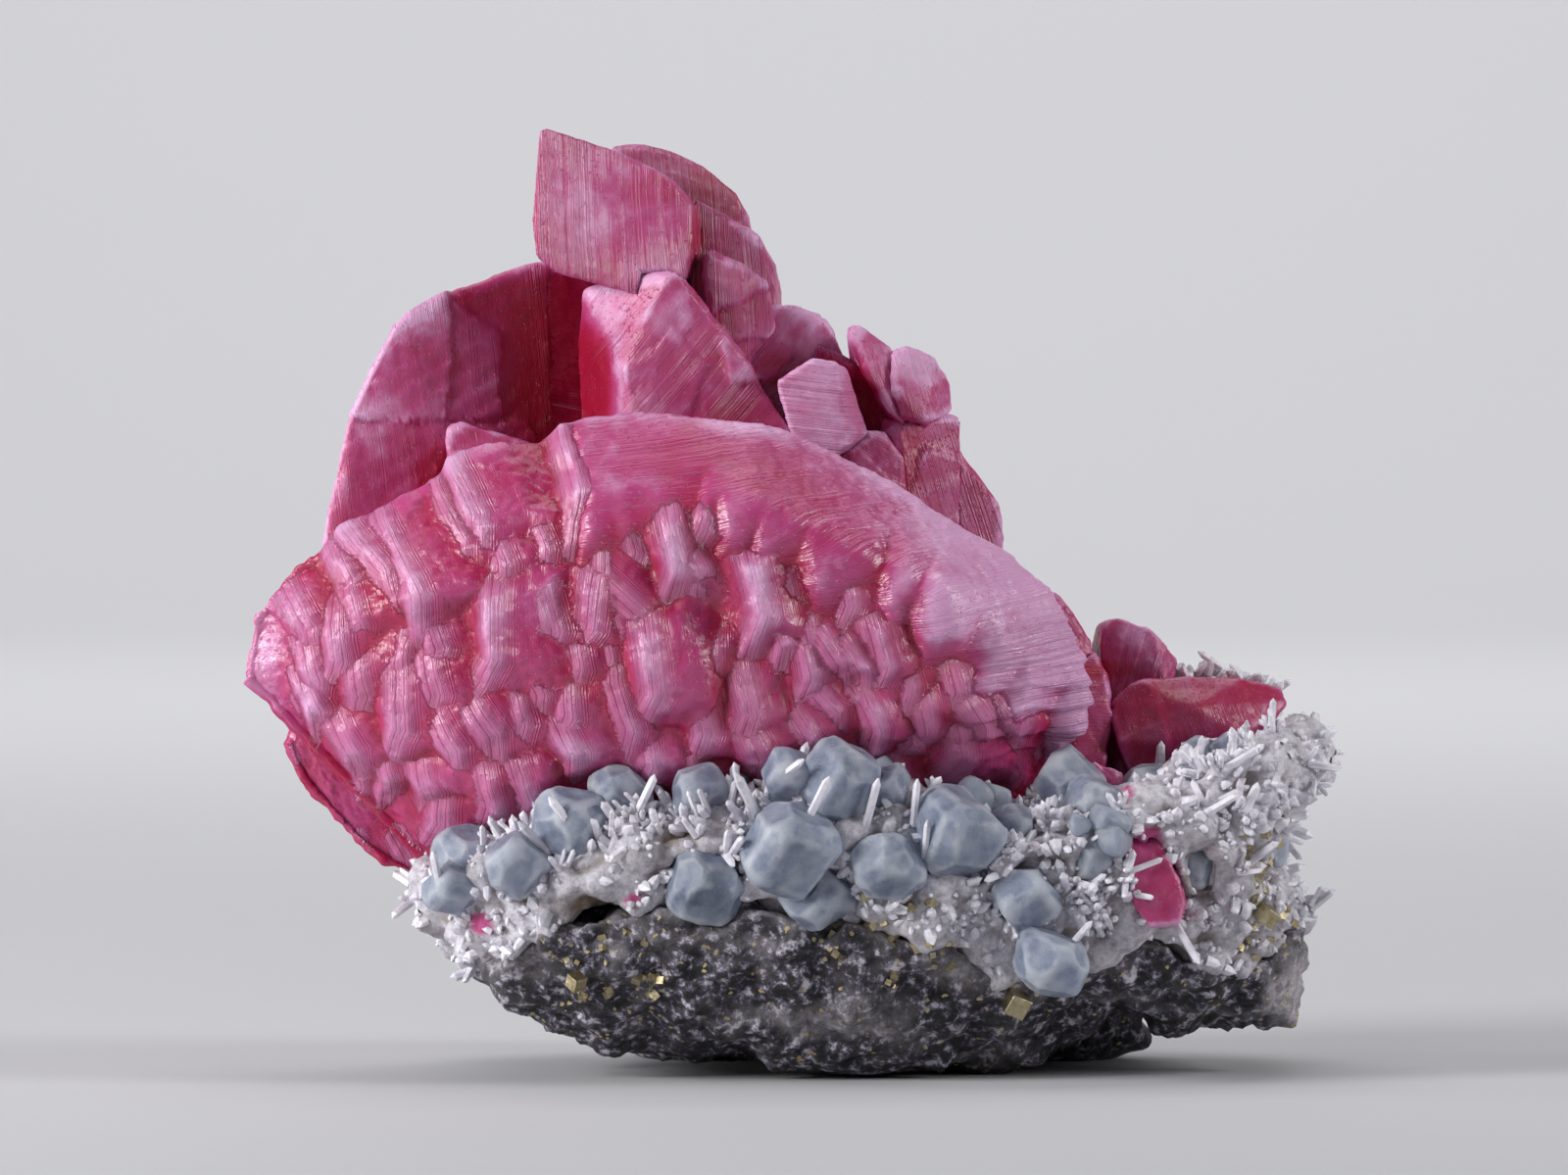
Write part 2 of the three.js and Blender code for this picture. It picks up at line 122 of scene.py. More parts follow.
def add_light(name, place, aim, size, watts):
    """A soft rectangular light."""
    data = bpy.data.lights.new(name, "AREA")
    data.shape = "RECTANGLE"
    data.size, data.size_y = size
    data.energy = watts
    light = placed(name, data)
    light.location = place
    away = Vector(aim) - Vector(place)
    light.rotation_mode = "QUATERNION"
    light.rotation_quaternion = away.to_track_quat("-Z", "Y")


def add_studio():
    middle = (0, 0, 0.06)
    add_light("left_softbox", (-0.70, -0.38, 0.34), middle, (0.30, 0.36), 7.0)
    add_light("left_rim", (-0.80, 0.10, 0.16), middle, (0.25, 0.40), 2.2)
    add_light("right_softbox", (0.78, -0.20, 0.36), middle, (0.25, 0.4), 4.2)
    add_light("front_fill", (-0.3, -1.1, 0.6), middle, (0.4, 0.4), 0.8)
    add_light("top_softbox", (0.0, 0.1, 0.85), middle, (0.5, 0.4), 1.4)
    add_light("wall_wash", (0.0, 0.9, 1.6), (0, 2.4, 0.5), (1.6, 0.4), 44)
    world = bpy.data.worlds.new("studio")
    bpy.context.scene.world = world
    world.use_nodes = True
    sky = world.node_tree.nodes["Background"]
    sky.inputs["Color"].default_value = (0.9, 0.92, 0.96, 1)
    sky.inputs["Strength"].default_value = 0.07
    bpy.context.scene.view_settings.view_transform = "Standard"


# ---------- noise and small mathematics

def unit(rows):
    return rows / np.linalg.norm(rows, axis=1)[:, None]


class Noise:
    """Smooth lattice noise of about -1 to 1 at an array of points."""

    def __init__(self, seed):
        random = np.random.default_rng(seed)
        self.order = np.tile(random.permutation(256), 2)
        self.slopes = unit(random.normal(size=(256, 3)))
        self.jitter = random.random((256, 3))

    def hashed(self, cell):
        i, j, k = (cell[:, n] & 255 for n in range(3))
        return self.order[self.order[self.order[i] + j] + k]

    def __call__(self, points, cell):
        scaled = points / cell
        corner = np.floor(scaled).astype(int)
        inside = scaled - corner
        fade = inside ** 3 * (inside * (inside * 6 - 15) + 10)
        total = np.zeros(len(points))
        for step in np.ndindex(2, 2, 2):
            step = np.array(step)
            weight = np.prod(np.where(step, fade, 1 - fade), axis=1)
            slope = self.slopes[self.hashed(corner + step)]
            total += weight * ((inside - step) * slope).sum(1)
        return total * 1.6

    def layered(self, points, cell, layers=3, gain=0.5):
        return sum(self(points + 7.3 * n, cell / 2 ** n) * gain ** n for n in range(layers))

    def drift(self, points, apart, cell, numbers):
        """Several noises side by side, read a distance apart."""
        return np.column_stack([self(points + apart * n, cell) for n in numbers])

    def cells(self, points, cell):
        """The distance from each point to the nearest of some scattered seeds, in cells."""
        scaled = points / cell
        corner = np.floor(scaled).astype(int)
        nearest = np.full(len(points), 9.0)
        for step in np.ndindex(3, 3, 3):
            here = corner + np.array(step) - 1
            gap = np.linalg.norm(here + self.jitter[self.hashed(here)] - scaled, axis=1)
            nearest = np.minimum(nearest, gap)
        return nearest


def smoothstep(value, low, high):
    share = np.clip((value - low) / (high - low), 0, 1)
    return share * share * (3 - 2 * share)


def soft_max(a, b, width):
    """The larger of two fields, blended over a width where they are close."""
    return np.logaddexp(a / width, b / width) * width


def ball(points, centre, radius):
    """1 at a centre, fading to 0 at a radius, which may differ along each axis."""
    away = np.linalg.norm((points - np.array(centre)) / np.array(radius), axis=1)
    return 1 - smoothstep(away, 0.3, 1)


def spotted(points, spots, ground=0.0):
    """The sum of a table of soft spots, seen from the front, over what is there already."""
    total = np.full(len(points), ground)
    for x, z, wide, tall, amount in spots:
        total += amount * ball(points, (x, 0, z), (wide, THROUGH, tall))
    return total


def shelf(points, outline, rise, edge):
    """A raised plate: its outline is a convex ring of (x, z) corners, its rim an even slope."""
    inside = np.full(len(points), 99.0)
    for (x0, z0), (x1, z1) in zip(outline, outline[1:] + outline[:1]):
        length = math.hypot(x1 - x0, z1 - z0)
        side = ((points[:, 0] - x0) * (z1 - z0) - (points[:, 2] - z0) * (x1 - x0)) / length
        inside = np.minimum(inside, side)
    return rise * smoothstep(inside, -edge / 2, edge / 2)


def steps(phase, pitch, depth):
    """Overlapping layers: each swells slowly over its pitch and drops back at its edge."""
    share = np.mod(phase / pitch, 1.0)
    return depth * (share - smoothstep(share, 0.82, 1.0) * share)


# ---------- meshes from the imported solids

FRONTAL = -0.12  # a face that points further to the front than this is cut finer
CREASE = 1.9995  # two faces whose directions add up to less than this meet at an edge
EVENING = 4  # rounds of evening out the points between the edges


def numbers(items, what, width, kind=np.float32):
    flat = np.empty(len(items) * width, kind)
    items.foreach_get(what, flat)
    return flat.reshape(-1, width)


def read(mesh):
    return numbers(mesh.vertices, "co", 3).astype(float) / MM


def normals(mesh):
    return numbers(mesh.vertices, "normal", 3).astype(float)


def write(mesh, points):
    mesh.vertices.foreach_set("co", (points * MM).astype(np.float32).ravel())
    mesh.update()


def spread(field, edges, rounds):
    """A field over a mesh's vertices, averaged with its neighbours a number of times."""
    count = np.bincount(edges.ravel(), minlength=len(field)).astype(float)
    for _ in range(rounds):
        total = np.bincount(edges[:, 0], field[edges[:, 1]], len(field))
        total += np.bincount(edges[:, 1], field[edges[:, 0]], len(field))
        field = (field + total) / (1 + count)
    return field


def relax(points, edges, rounds):
    return np.column_stack([spread(points[:, n], edges, rounds) for n in range(3)])


def new_piece(name, points, faces):
    """A new object, from points in millimetres."""
    mesh = bpy.data.meshes.new(name)
    mesh.from_pydata((points * MM).tolist(), [], faces)
    return placed(name, mesh)


def remeshed(name, whole, voxel):
    """A new object with an even skin over a bmesh."""
    mesh = bpy.data.meshes.new(name)
    whole.to_mesh(mesh)
    whole.free()
    piece = placed(name, mesh)
    remesh = piece.modifiers.new("skin", "REMESH")
    remesh.mode = "VOXEL"
    remesh.voxel_size = voxel * MM
    shape = bpy.data.meshes.new_from_object(
        piece.evaluated_get(bpy.context.evaluated_depsgraph_get())
    )
    piece.modifiers.clear()
    piece.data = shape
    bpy.data.meshes.remove(mesh)
    shape.materials.clear()
    shape.name = name
    return piece


def face_directions(points, faces):
    first, second, third = (points[faces[:, n]] for n in range(3))
    across = np.cross(second - first, third - first)
    return across / np.maximum(np.linalg.norm(across, axis=1), 1e-12)[:, None]


def sides_of(faces):
    """The different edges of some triangles, and which of them each triangle's sides are."""
    sides = np.sort(np.stack([faces, np.roll(faces, -1, axis=1)], axis=2).reshape(-1, 2), axis=1)
    edges, which = np.unique(sides, axis=0, return_inverse=True)
    return edges, which.reshape(-1, 3)


def halved(points, faces, limits):
    """Triangles with every side that is longer than its face's limit cut in half."""
    edges, which = sides_of(faces)
    limit = np.full(len(edges), np.inf)
    np.minimum.at(limit, which.ravel(), np.repeat(limits, 3))
    ends = points[edges]
    cut = np.linalg.norm(ends[:, 0] - ends[:, 1], axis=1) > limit
    middle = np.cumsum(cut) - 1 + len(points)
    points = np.concatenate([points, ends[cut].mean(1)])
    marked = cut[which]
    count = marked.sum(1)
    first = np.where(count == 2, (np.argmin(marked, axis=1) + 1) % 3, np.argmax(marked, axis=1))
    order = (first[:, None] + np.arange(3)) % 3
    a, b, c = np.take_along_axis(faces, order, axis=1).T
    ab, bc, ca = middle[np.take_along_axis(which, order, axis=1)].T
    patterns = {
        0: [(a, b, c)],
        1: [(a, ab, c), (ab, b, c)],
        2: [(ab, b, bc), (a, ab, bc), (a, bc, c)],
        3: [(a, ab, ca), (ab, b, bc), (ca, bc, c), (ab, bc, ca)],
    }
    pieces = [np.column_stack(corner)[count == n] for n, made in patterns.items() for corner in made]
    return points, np.concatenate(pieces), cut.any()


def divided(name, whole, longest, in_front):
    """A new object with a solid's own faces and edges, cut fine enough to be shaped.

    No edge is left longer than a length, which is shorter for the faces towards the front.
    """
    bmesh.ops.remove_doubles(whole, verts=whole.verts, dist=1e-6)
    bmesh.ops.triangulate(whole, faces=whole.faces)
    whole.verts.index_update()
    points = np.array([vertex.co[:] for vertex in whole.verts]) / MM
    faces = np.array([[vertex.index for vertex in face.verts] for face in whole.faces])
    whole.free()
    unfinished = True
    while unfinished:
        frontal = face_directions(points, faces)[:, 1] < FRONTAL
        points, faces, unfinished = halved(points, faces, np.where(frontal, in_front, longest))
    edges, which = sides_of(faces)
    facing = face_directions(points, faces)
    total = np.zeros((len(edges), 3))
    np.add.at(total, which.ravel(), np.repeat(facing, 3, axis=0))
    creased = np.zeros(len(points), bool)
    creased[edges[np.linalg.norm(total, axis=1) < CREASE]] = True
    for _ in range(EVENING):
        points = np.where(creased[:, None], points, relax(points, edges, 1))
    return new_piece(name, points, faces.tolist())


def solid(node):
    """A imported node's own mesh."""
    whole = bmesh.new()
    whole.from_mesh(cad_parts[node].data)
    return whole


def hull(corner_points):
    """The convex body of some corners, given in millimetres."""
    whole = bmesh.new()
    for corner in corner_points:
        whole.verts.new(Vector(corner) * MM)
    bmesh.ops.convex_hull(whole, input=whole.verts)
    inner = [vertex for vertex in whole.verts if not vertex.link_faces]
    bmesh.ops.delete(whole, geom=inner, context="VERTS")
    bmesh.ops.recalc_face_normals(whole, faces=whole.faces)
    return whole


def grow(piece, relaxing, smoothing):
    """A piece's relaxed points, its smoothed outward directions and its edges."""
    mesh = piece.data
    edges = numbers(mesh.edges, "vertices", 2, np.int32)
    points = relax(read(mesh), edges, relaxing)
    write(mesh, points)
    return points, unit(relax(normals(mesh), edges, smoothing)), edges


def store(mesh, name, field):
    """Keeps a number at each vertex, for the material to read."""
    attribute = mesh.attributes.new(name, "FLOAT", "POINT")
    attribute.data.foreach_set("value", field.astype(np.float32))


def finish_piece(piece, material, replaced=None, smooth=True):
    piece.data.materials.append(material)
    if smooth:
        piece.data.shade_smooth()
    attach(piece, "root")
    if replaced:
        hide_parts(replaced)


# ---------- materials

class Look:
    """A material, with short ways to add its nodes and join them."""

    def __init__(self, name):
        self.material = bpy.data.materials.new(name)
        self.material.use_nodes = True
        self.tree = self.material.node_tree
        self.place = self.add("TexCoord").outputs["Object"]

    def add(self, kind, **settings):
        """A new node, with its sockets and its own settings given by name."""
        node = self.tree.nodes.new("ShaderNode" + kind)
        for key, value in settings.items():
            if key in node.inputs:
                node.inputs[key].default_value = value
            else:
                setattr(node, key, value)
        return node

    def put(self, value, socket):
        """Links another node's output to a socket, or sets the socket to a value."""
        if isinstance(value, bpy.types.NodeSocket):
            self.tree.links.new(value, socket)
        else:
            socket.default_value = value

    def attribute(self, name):
        return self.add("Attribute", attribute_name=name).outputs["Fac"]

    def maths(self, operation, *values):
        node = self.add("Math", operation=operation)
        for value, socket in zip(values, node.inputs):
            self.put(value, socket)
        return node.outputs[0]

    def cloud(self, scale, detail, roughness, along=None):
        """Layered noise at every point, or along a number."""
        node = self.add("TexNoise", Scale=scale, Detail=detail, Roughness=roughness)
        if along is None:
            self.put(self.place, node.inputs["Vector"])
        else:
            node.noise_dimensions = "1D"
            self.put(along, node.inputs["W"])
        return node.outputs["Fac"]

    def mapped(self, value, low, high, most=1.0):
        """0 up to a low value, then rising evenly to the most at a high value."""
        node = self.add("MapRange", **{"From Min": low, "From Max": high, "To Max": most})
        self.put(value, node.inputs["Value"])
        return node.outputs["Result"]

    def mixed(self, share, first, second):
        node = self.add("Mix", data_type="RGBA")
        for value, number in ((share, 0), (first, 6), (second, 7)):
            self.put(value, node.inputs[number])
        return node.outputs[2]

    def toned(self, value, stops):
        """The colour that a ramp has at a value."""
        node = self.add("ValToRGB")
        while len(node.color_ramp.elements) < len(stops):
            node.color_ramp.elements.new(0.5)
        for element, (at, colour) in zip(node.color_ramp.elements, stops):
            element.position = at
            element.color = (*colour, 1)
        self.put(value, node.inputs["Fac"])
        return node.outputs["Color"]

    def mottled(self, scale, stops):
        """A colour that wanders through a ramp with layered noise."""
        return self.toned(self.cloud(scale, 8.0, 0.68), stops)

    def bumped(self, height, strength, distance):
        node = self.add("Bump", Strength=strength, Distance=distance)
        self.put(height, node.inputs["Height"])
        return node.outputs["Normal"]

    def roughened(self, scale, depth):
        """Fine relief, from a noise of the given scale."""
        return self.bumped(self.cloud(scale, 6.0, 0.7), 0.8, depth)

    def finished(self, values):
        """The material, with the named sockets of its shader linked or set."""
        for name, value in values.items():
            self.put(value, self.tree.nodes["Principled BSDF"].inputs[name])
        return self.material


CRIMSON = (0.34, 0.000, 0.028)
ROSE = (0.39, 0.008, 0.075)
PINK = (0.46, 0.055, 0.205)
LILAC = (0.66, 0.33, 0.56)
QUARTZ_INDEX = 1.544


def rhodochrosite(name, index, shade):
    """Translucent pink crystal: crimson where shade is painted, lilac where frosted and where light is
    painted; shade darkens all of it.
    """
    look = Look(name)
    ruled = look.attribute("ruled")
    veins_frost_and_painted_light = look.maths("MULTIPLY_ADD", look.cloud(350.0, 6.0, 0.65), 0.35, look.attribute("frost_and_painted_light"))
    stops = [(0.12, CRIMSON), (0.42, ROSE), (0.72, PINK), (1.0, LILAC)]
    tone = look.toned(veins_frost_and_painted_light, [(at, [part * shade for part in colour]) for at, colour in stops])
    phase = look.maths("MULTIPLY_ADD", look.cloud(500.0, 2.0, 0.5), 0.12, look.attribute("lines"))
    streak = look.cloud(1.3, 3.0, 0.8, along=phase)
    hair = look.cloud(6.0, 1.0, 0.6, along=phase)
    both = look.maths("MULTIPLY_ADD", hair, 0.4, streak)
    groove = look.mapped(look.maths("MULTIPLY", both, ruled), 0.44, 0.64)
    frost = look.maths("MULTIPLY", groove, 0.32)
    fine = look.cloud(2200.0, 3.0, 0.6)
    pits = look.mapped(fine, 0.60, 0.72, most=-0.8)
    grain = look.maths("MULTIPLY_ADD", fine, 0.30, pits)
    scored = look.maths("MULTIPLY_ADD", hair, ruled, grain)
    surface = look.maths("ADD", scored, groove)
    return look.finished({
        "Base Color": look.mixed(frost, tone, (*LILAC, 1)),
        "Normal": look.bumped(surface, 0.85, 0.00019),
        "Roughness": look.attribute("rough"),
        "IOR": index,
        "Subsurface Weight": 0.35,
        "Subsurface Radius": (1.0, 0.25, 0.4),
        "Subsurface Scale": 0.0009,
    })


def fluorite():
    """Pale blue-grey crystal, frosted and half clear, whiter in clouds of frost and along its edges
    (painted highlight).
    """
    look = Look("fluorite")
    inner = look.mottled(260.0, [(0.3, (0.20, 0.25, 0.37)), (0.7, (0.50, 0.56, 0.71))])
    return look.finished({
        "Base Color": look.mixed(look.attribute("frost_and_painted_light"), inner, (0.82, 0.86, 0.94, 1)),
        "Normal": look.roughened(1100.0, 0.0003),
        "Roughness": 0.22,
        "IOR": 1.434,
        "Transmission Weight": 0.5,
        "Subsurface Weight": 0.5,
        "Subsurface Radius": (1.0, 1.0, 1.2),
        "Subsurface Scale": 0.0015,
    })


def quartz():
    """Milky white-lilac crystal, a little clear."""
    look = Look("quartz")
    stops = [(0.35, (0.56, 0.53, 0.60)), (0.5, (0.76, 0.74, 0.81)), (0.7, (0.92, 0.91, 0.96))]
    return look.finished({
        "Base Color": look.mottled(300.0, stops),
        "Normal": look.roughened(3000.0, 0.0001),
        "Roughness": 0.22,
        "IOR": QUARTZ_INDEX,
        "Subsurface Weight": 0.4,
        "Subsurface Radius": (1.0, 1.0, 1.0),
        "Subsurface Scale": 0.0006,
    })


def crust():
    """The quartz floor under the needles: brown where dirt lies, dark where shade is painted in hollows,
    pink where crystal shows.
    """
    look = Look("quartz_crust")
    stops = [(0.30, (0.30, 0.27, 0.31)), (0.48, (0.58, 0.55, 0.61)), (0.7, (0.84, 0.82, 0.88))]
    clean = look.mottled(900.0, stops)
    dirt_and_shade = look.mottled(700.0, [(0.3, (0.05, 0.035, 0.025)), (0.7, (0.30, 0.22, 0.16))])
    whole = look.mixed(look.attribute("stain_and_shade"), clean, dirt_and_shade)
    return look.finished({
        "Base Color": look.mixed(look.attribute("blush"), whole, (*PINK, 1)),
        "Normal": look.roughened(2200.0, 0.0004),
        "Roughness": 0.4,
        "IOR": QUARTZ_INDEX,
    })


def broken_rock():
    """Charcoal rock with grey and white speckles and a few brassy glints."""
    look = Look("rock")
    stops = [(0.40, (0.004, 0.004, 0.005)), (0.50, (0.03, 0.026, 0.036)), (0.56, (0.17, 0.15, 0.21)),
             (0.62, (0.62, 0.60, 0.66))]
    stone = look.mottled(700.0, stops)
    pale = look.mottled(620.0, [(0.35, (0.14, 0.12, 0.13)), (0.65, (0.62, 0.58, 0.62))])
    whole = look.mixed(look.attribute("pale"), stone, pale)
    grains = look.add("TexVoronoi", Scale=2200.0)
    look.put(look.place, grains.inputs["Vector"])
    chance = look.add("SeparateColor")
    look.put(grains.outputs["Color"], chance.inputs["Color"])
    glint = look.maths("GREATER_THAN", chance.outputs["Red"], 0.985)
    return look.finished({
        "Base Color": look.mixed(glint, whole, (0.62, 0.50, 0.28, 1)),
        "Metallic": glint,
        "Normal": look.roughened(1300.0, 0.0007),
        "Roughness": 0.5,
    })


def pyrite():
    """Brassy metal, tarnished in places."""
    look = Look("pyrite")
    return look.finished({
        "Base Color": look.mottled(500.0, [(0.3, (0.25, 0.20, 0.11)), (0.6, (0.60, 0.52, 0.33))]),
        "Normal": look.roughened(1800.0, 0.0002),
        "Metallic": 1.0,
        "Roughness": 0.3,
    })


# ---------- the stepped front crystal

RIDGE = (0.95, 0.31)  # across the edge between a hill's left and broad faces
EDGE = (0.96, -0.27)  # across the edge between its left and lower faces
ALONG = (-0.31, 0.95)  # up its ridge
FOOT = (0.30, -0.95)  # straight down its lower face
LEFT_FALL, BROAD_FALL, RIGHT_FALL, CROWN_FALL = 0.88, 0.22, 0.75, 0.50  # how steeply faces fall
LOWER_FALL, PLATE_FOOT_FALL = 0.66, 0.62
ROUNDER = 0.9  # the share of every hill's listed roundness that is used
VALLEY = -1.3  # the lowest ground between hills, in millimetres
PLATE_RISE = 3.5  # how far the plate stands out
PLATE_ROUNDNESS = 0.35
TWIST = 0.22  # how much the hills differ in direction, in radians
MEETING, MEETING_PLATE = 0.16, 0.15  # how softly hills meet each other and the plate
AROUND = 9  # a hill is worked out only this far around it

# How outlines wander: how far apart the two noises are read, their cell and their depth.
WANDERING = [(40, 9.0, 1.5), (90, 3.2, 0.55), (130, 1.2, 0.14)]

# The small hills that fill the valleys: their spacing, how far they are shifted, and the least and
# most of their rise, reach, width and roundness.
HILL_PITCH = (4.3, 4.1)
HILL_SHIFT = 1.9
LEAST_HILL, MOST_HILL = (-1.0, 0.6, 0.4, 0.6), (0.3, 2.6, 2.4, 1.3)

# The small bumps and pits that every pink face carries: where the noise is read, cell and depth.
RELIEF = [(0, 1.9, 0.13), (20, 1.0, 0.11), (40, 0.6, 0.08)]

# Growth hills of the mosaic face: where each hill's corner stands, in millimetres right of and
# above the crystal's lowest left corner, how far it stands out, how far it reaches up its ridge
# and across its broad face, and how round it is.
HILLS = [
    # along the upper left rim
    (41.3, 46.5, 3.4, 7.5, 3.5, 0.2), (31.3, 48.2, 2.3, 4.5, 4.5, 0.35), (29.6, 44.2, 3.2, 7.0, 5.0, 0.2),
    (27.3, 41.5, 2.3, 6.5, 2.2, 0.25), (22.3, 35.2, 3.0, 8.0, 6.0, 0.25), (18.2, 37.5, 2.7, 6.5, 2.4, 0.4),
    (13.6, 37.0, 1.9, 3.5, 1.8, 0.3), (32.3, 39.2, 1.9, 2.4, 2.6, 0.5), (36.9, 41.3, 1.4, 3.0, 1.0, 0.4),
    (28.8, 37.0, 0.9, 3.0, 1.5, 0.4), (34.8, 46.2, 0.9, 1.8, 1.2, 0.5), (24.5, 38.6, 0.9, 4.0, 1.5, 0.4),
    # the middle band
    (14.6, 32.3, 1.4, 2.6, 3.2, 0.35), (8.6, 31.5, 1.3, 2.6, 1.5, 0.7), (12.6, 28.0, 1.8, 2.8, 1.6, 0.5),
    (15.2, 23.6, 1.8, 2.4, 2.8, 0.8), (20.4, 20.0, 2.2, 3.0, 2.4, 0.6), (26.5, 17.3, 2.2, 2.4, 2.4, 0.8),
    (24.5, 29.5, 1.2, 2.2, 3.6, 0.5), (24.2, 24.0, 1.3, 2.6, 3.8, 0.5), (19.5, 27.0, 1.2, 1.2, 0.8, 0.5),
    (31.5, 28.4, 3.2, 6.0, 5.2, 0.5), (33.0, 25.4, 1.4, 1.4, 1.6, 0.5), (38.6, 31.6, 2.0, 4.6, 1.2, 0.35),
    (42.8, 32.2, 2.1, 4.4, 1.6, 0.4), (44.8, 38.3, 1.8, 1.0, 0.8, 0.6), (48.4, 33.6, 2.2, 3.6, 3.2, 0.4),
    (47.0, 31.9, 1.9, 1.3, 0.8, 0.6), (41.0, 27.2, 1.8, 1.6, 1.6, 0.6), (44.5, 28.4, 1.2, 1.2, 2.6, 0.5),
    (45.5, 24.5, 1.5, 1.0, 1.1, 0.6), (36.6, 24.0, 1.5, 1.4, 1.3, 0.6), (40.0, 21.6, 1.7, 1.2, 4.4, 0.6),
    (34.2, 20.5, 1.3, 1.6, 1.4, 0.5), (31.0, 19.0, 1.8, 2.4, 1.6, 0.5), (40.6, 16.9, 1.9, 1.8, 3.6, 0.7),
    (47.3, 20.0, 2.1, 3.2, 1.2, 0.4), (50.6, 24.4, 3.4, 5.6, 3.6, 0.35), (49.5, 15.9, 1.8, 1.3, 3.6, 0.8),
    (56.8, 27.4, 1.4, 2.0, 2.2, 0.5), (56.5, 19.4, 1.9, 2.4, 2.2, 0.8), (62.0, 21.7, 1.9, 1.6, 3.2, 0.8),
    (63.0, 16.9, 1.7, 1.6, 3.2, 0.7), (48.4, 41.0, 2.0, 1.8, 1.0, 0.6), (53.7, 39.6, 3.4, 5.0, 0.6, 0.3),
    (56.0, 38.8, 2.5, 2.2, 0.5, 0.35), (56.6, 44.5, 3.1, 3.2, 0.6, 0.35), (59.3, 42.3, 2.3, 2.0, 0.6, 0.3),
    (62.6, 39.6, 2.5, 2.0, 1.2, 0.3), (63.4, 33.8, 3.8, 4.0, 1.4, 0.25), (66.0, 29.5, 2.0, 3.0, 0.8, 0.25),
    (69.2, 30.0, 1.9, 1.8, 0.6, 0.25), (69.4, 26.2, 2.0, 2.2, 0.8, 0.35), (72.6, 27.8, 2.2, 2.4, 0.8, 0.35),
    (75.2, 26.8, 2.1, 2.4, 0.6, 0.3), (77.4, 27.4, 2.5, 4.6, 2.6, 0.35),
    # mounds along the foot of the plate
    (66.0, 36.3, 2.3, 1.6, 4.2, 0.5), (73.5, 34.6, 2.4, 2.0, 3.8, 0.4),
    # towards the right end
    (80.6, 24.8, 1.7, 1.3, 2.6, 0.5), (83.0, 20.5, 1.9, 1.5, 3.2, 0.5), (86.5, 24.2, 1.8, 1.4, 2.6, 0.4),
    (89.6, 21.0, 2.1, 1.3, 1.2, 0.6), (87.0, 16.8, 2.4, 1.8, 3.0, 0.9), (93.2, 21.0, 2.1, 2.4, 2.0, 0.4),
    (76.6, 20.5, 2.1, 1.2, 2.6, 0.3), (81.4, 18.8, 1.4, 1.0, 1.4, 0.3),
    # the lower band
    (23.2, 12.2, 1.7, 1.1, 3.8, 0.7), (17.8, 13.5, 1.0, 0.8, 1.2, 0.4), (30.4, 10.7, 1.6, 1.8, 1.2, 0.5),
    (34.6, 11.8, 1.8, 1.8, 1.6, 0.5), (24.5, 8.2, 1.1, 0.6, 2.2, 0.5), (9.4, 21.6, 1.2, 1.0, 1.0, 0.4),
    (9.4, 25.2, 1.3, 1.6, 1.6, 0.5), (14.0, 16.9, 1.7, 1.6, 3.2, 0.7), (55.0, 14.0, 1.2, 1.2, 1.6, 0.6),
    (69.0, 18.5, 1.4, 1.4, 2.2, 0.6), (71.6, 21.6, 1.5, 1.6, 1.0, 0.5), (79.0, 14.0, 1.0, 1.2, 2.0, 0.5),
]

# Corners of the smooth plate that covers the crystal's upper and right-hand side.
PLATE = [
    (43.7, 46.0), (46.5, 46.6), (50.0, 47.6), (57.0, 47.2), (60.2, 43.6), (63.6, 41.4), (70.5, 38.0),
    (79.0, 36.0), (84.0, 32.0), (89.5, 27.5), (94.0, 24.8), (101.0, 23.2),
]


def hill(right, above, rise, reach, broad, roundness):
    """A hill of parallel growth: flat faces that fall away from one corner, and its own edges."""
    ridge = right * RIDGE[0] + above * RIDGE[1]
    left = -ridge * LEFT_FALL
    lower = (right * FOOT[0] + above * FOOT[1]) * LOWER_FALL
    top = (right * ALONG[0] + above * ALONG[1] - reach) * CROWN_FALL
    sides = soft_max((ridge - broad) * RIGHT_FALL, top, roundness)
    front = soft_max(soft_max(left, lower, roundness), ridge * BROAD_FALL, roundness * 0.8)
    return rise - soft_max(front, sides, roundness)


def turned(right, above, angle):
    sine, cosine = math.sin(angle), math.cos(angle)
    return right * cosine - above * sine, right * sine + above * cosine


def plate_height(across, up):
    """The smooth plate: level, with one slope down to the hills along its lower left edge."""
    height = np.full(len(across), -9.0)
    for x, z in PLATE:
        right, above = across - x, up - z
        left = -(right * RIDGE[0] + above * RIDGE[1]) * LEFT_FALL
        lower = (right * FOOT[0] + above * FOOT[1]) * PLATE_FOOT_FALL
        slope = soft_max(left, lower, PLATE_ROUNDNESS)
        height = np.maximum(height, -soft_max(slope, right * 0, PLATE_ROUNDNESS))
    return height + PLATE_RISE


def small_hills(random):
    hills = []
    for x in np.arange(6, 98, HILL_PITCH[0]):
        for z in np.arange(4, 52, HILL_PITCH[1]):
            away = random.uniform(-HILL_SHIFT, HILL_SHIFT, 2)
            hills.append((x + away[0], z + away[1], *random.uniform(LEAST_HILL, MOST_HILL)))
    return hills


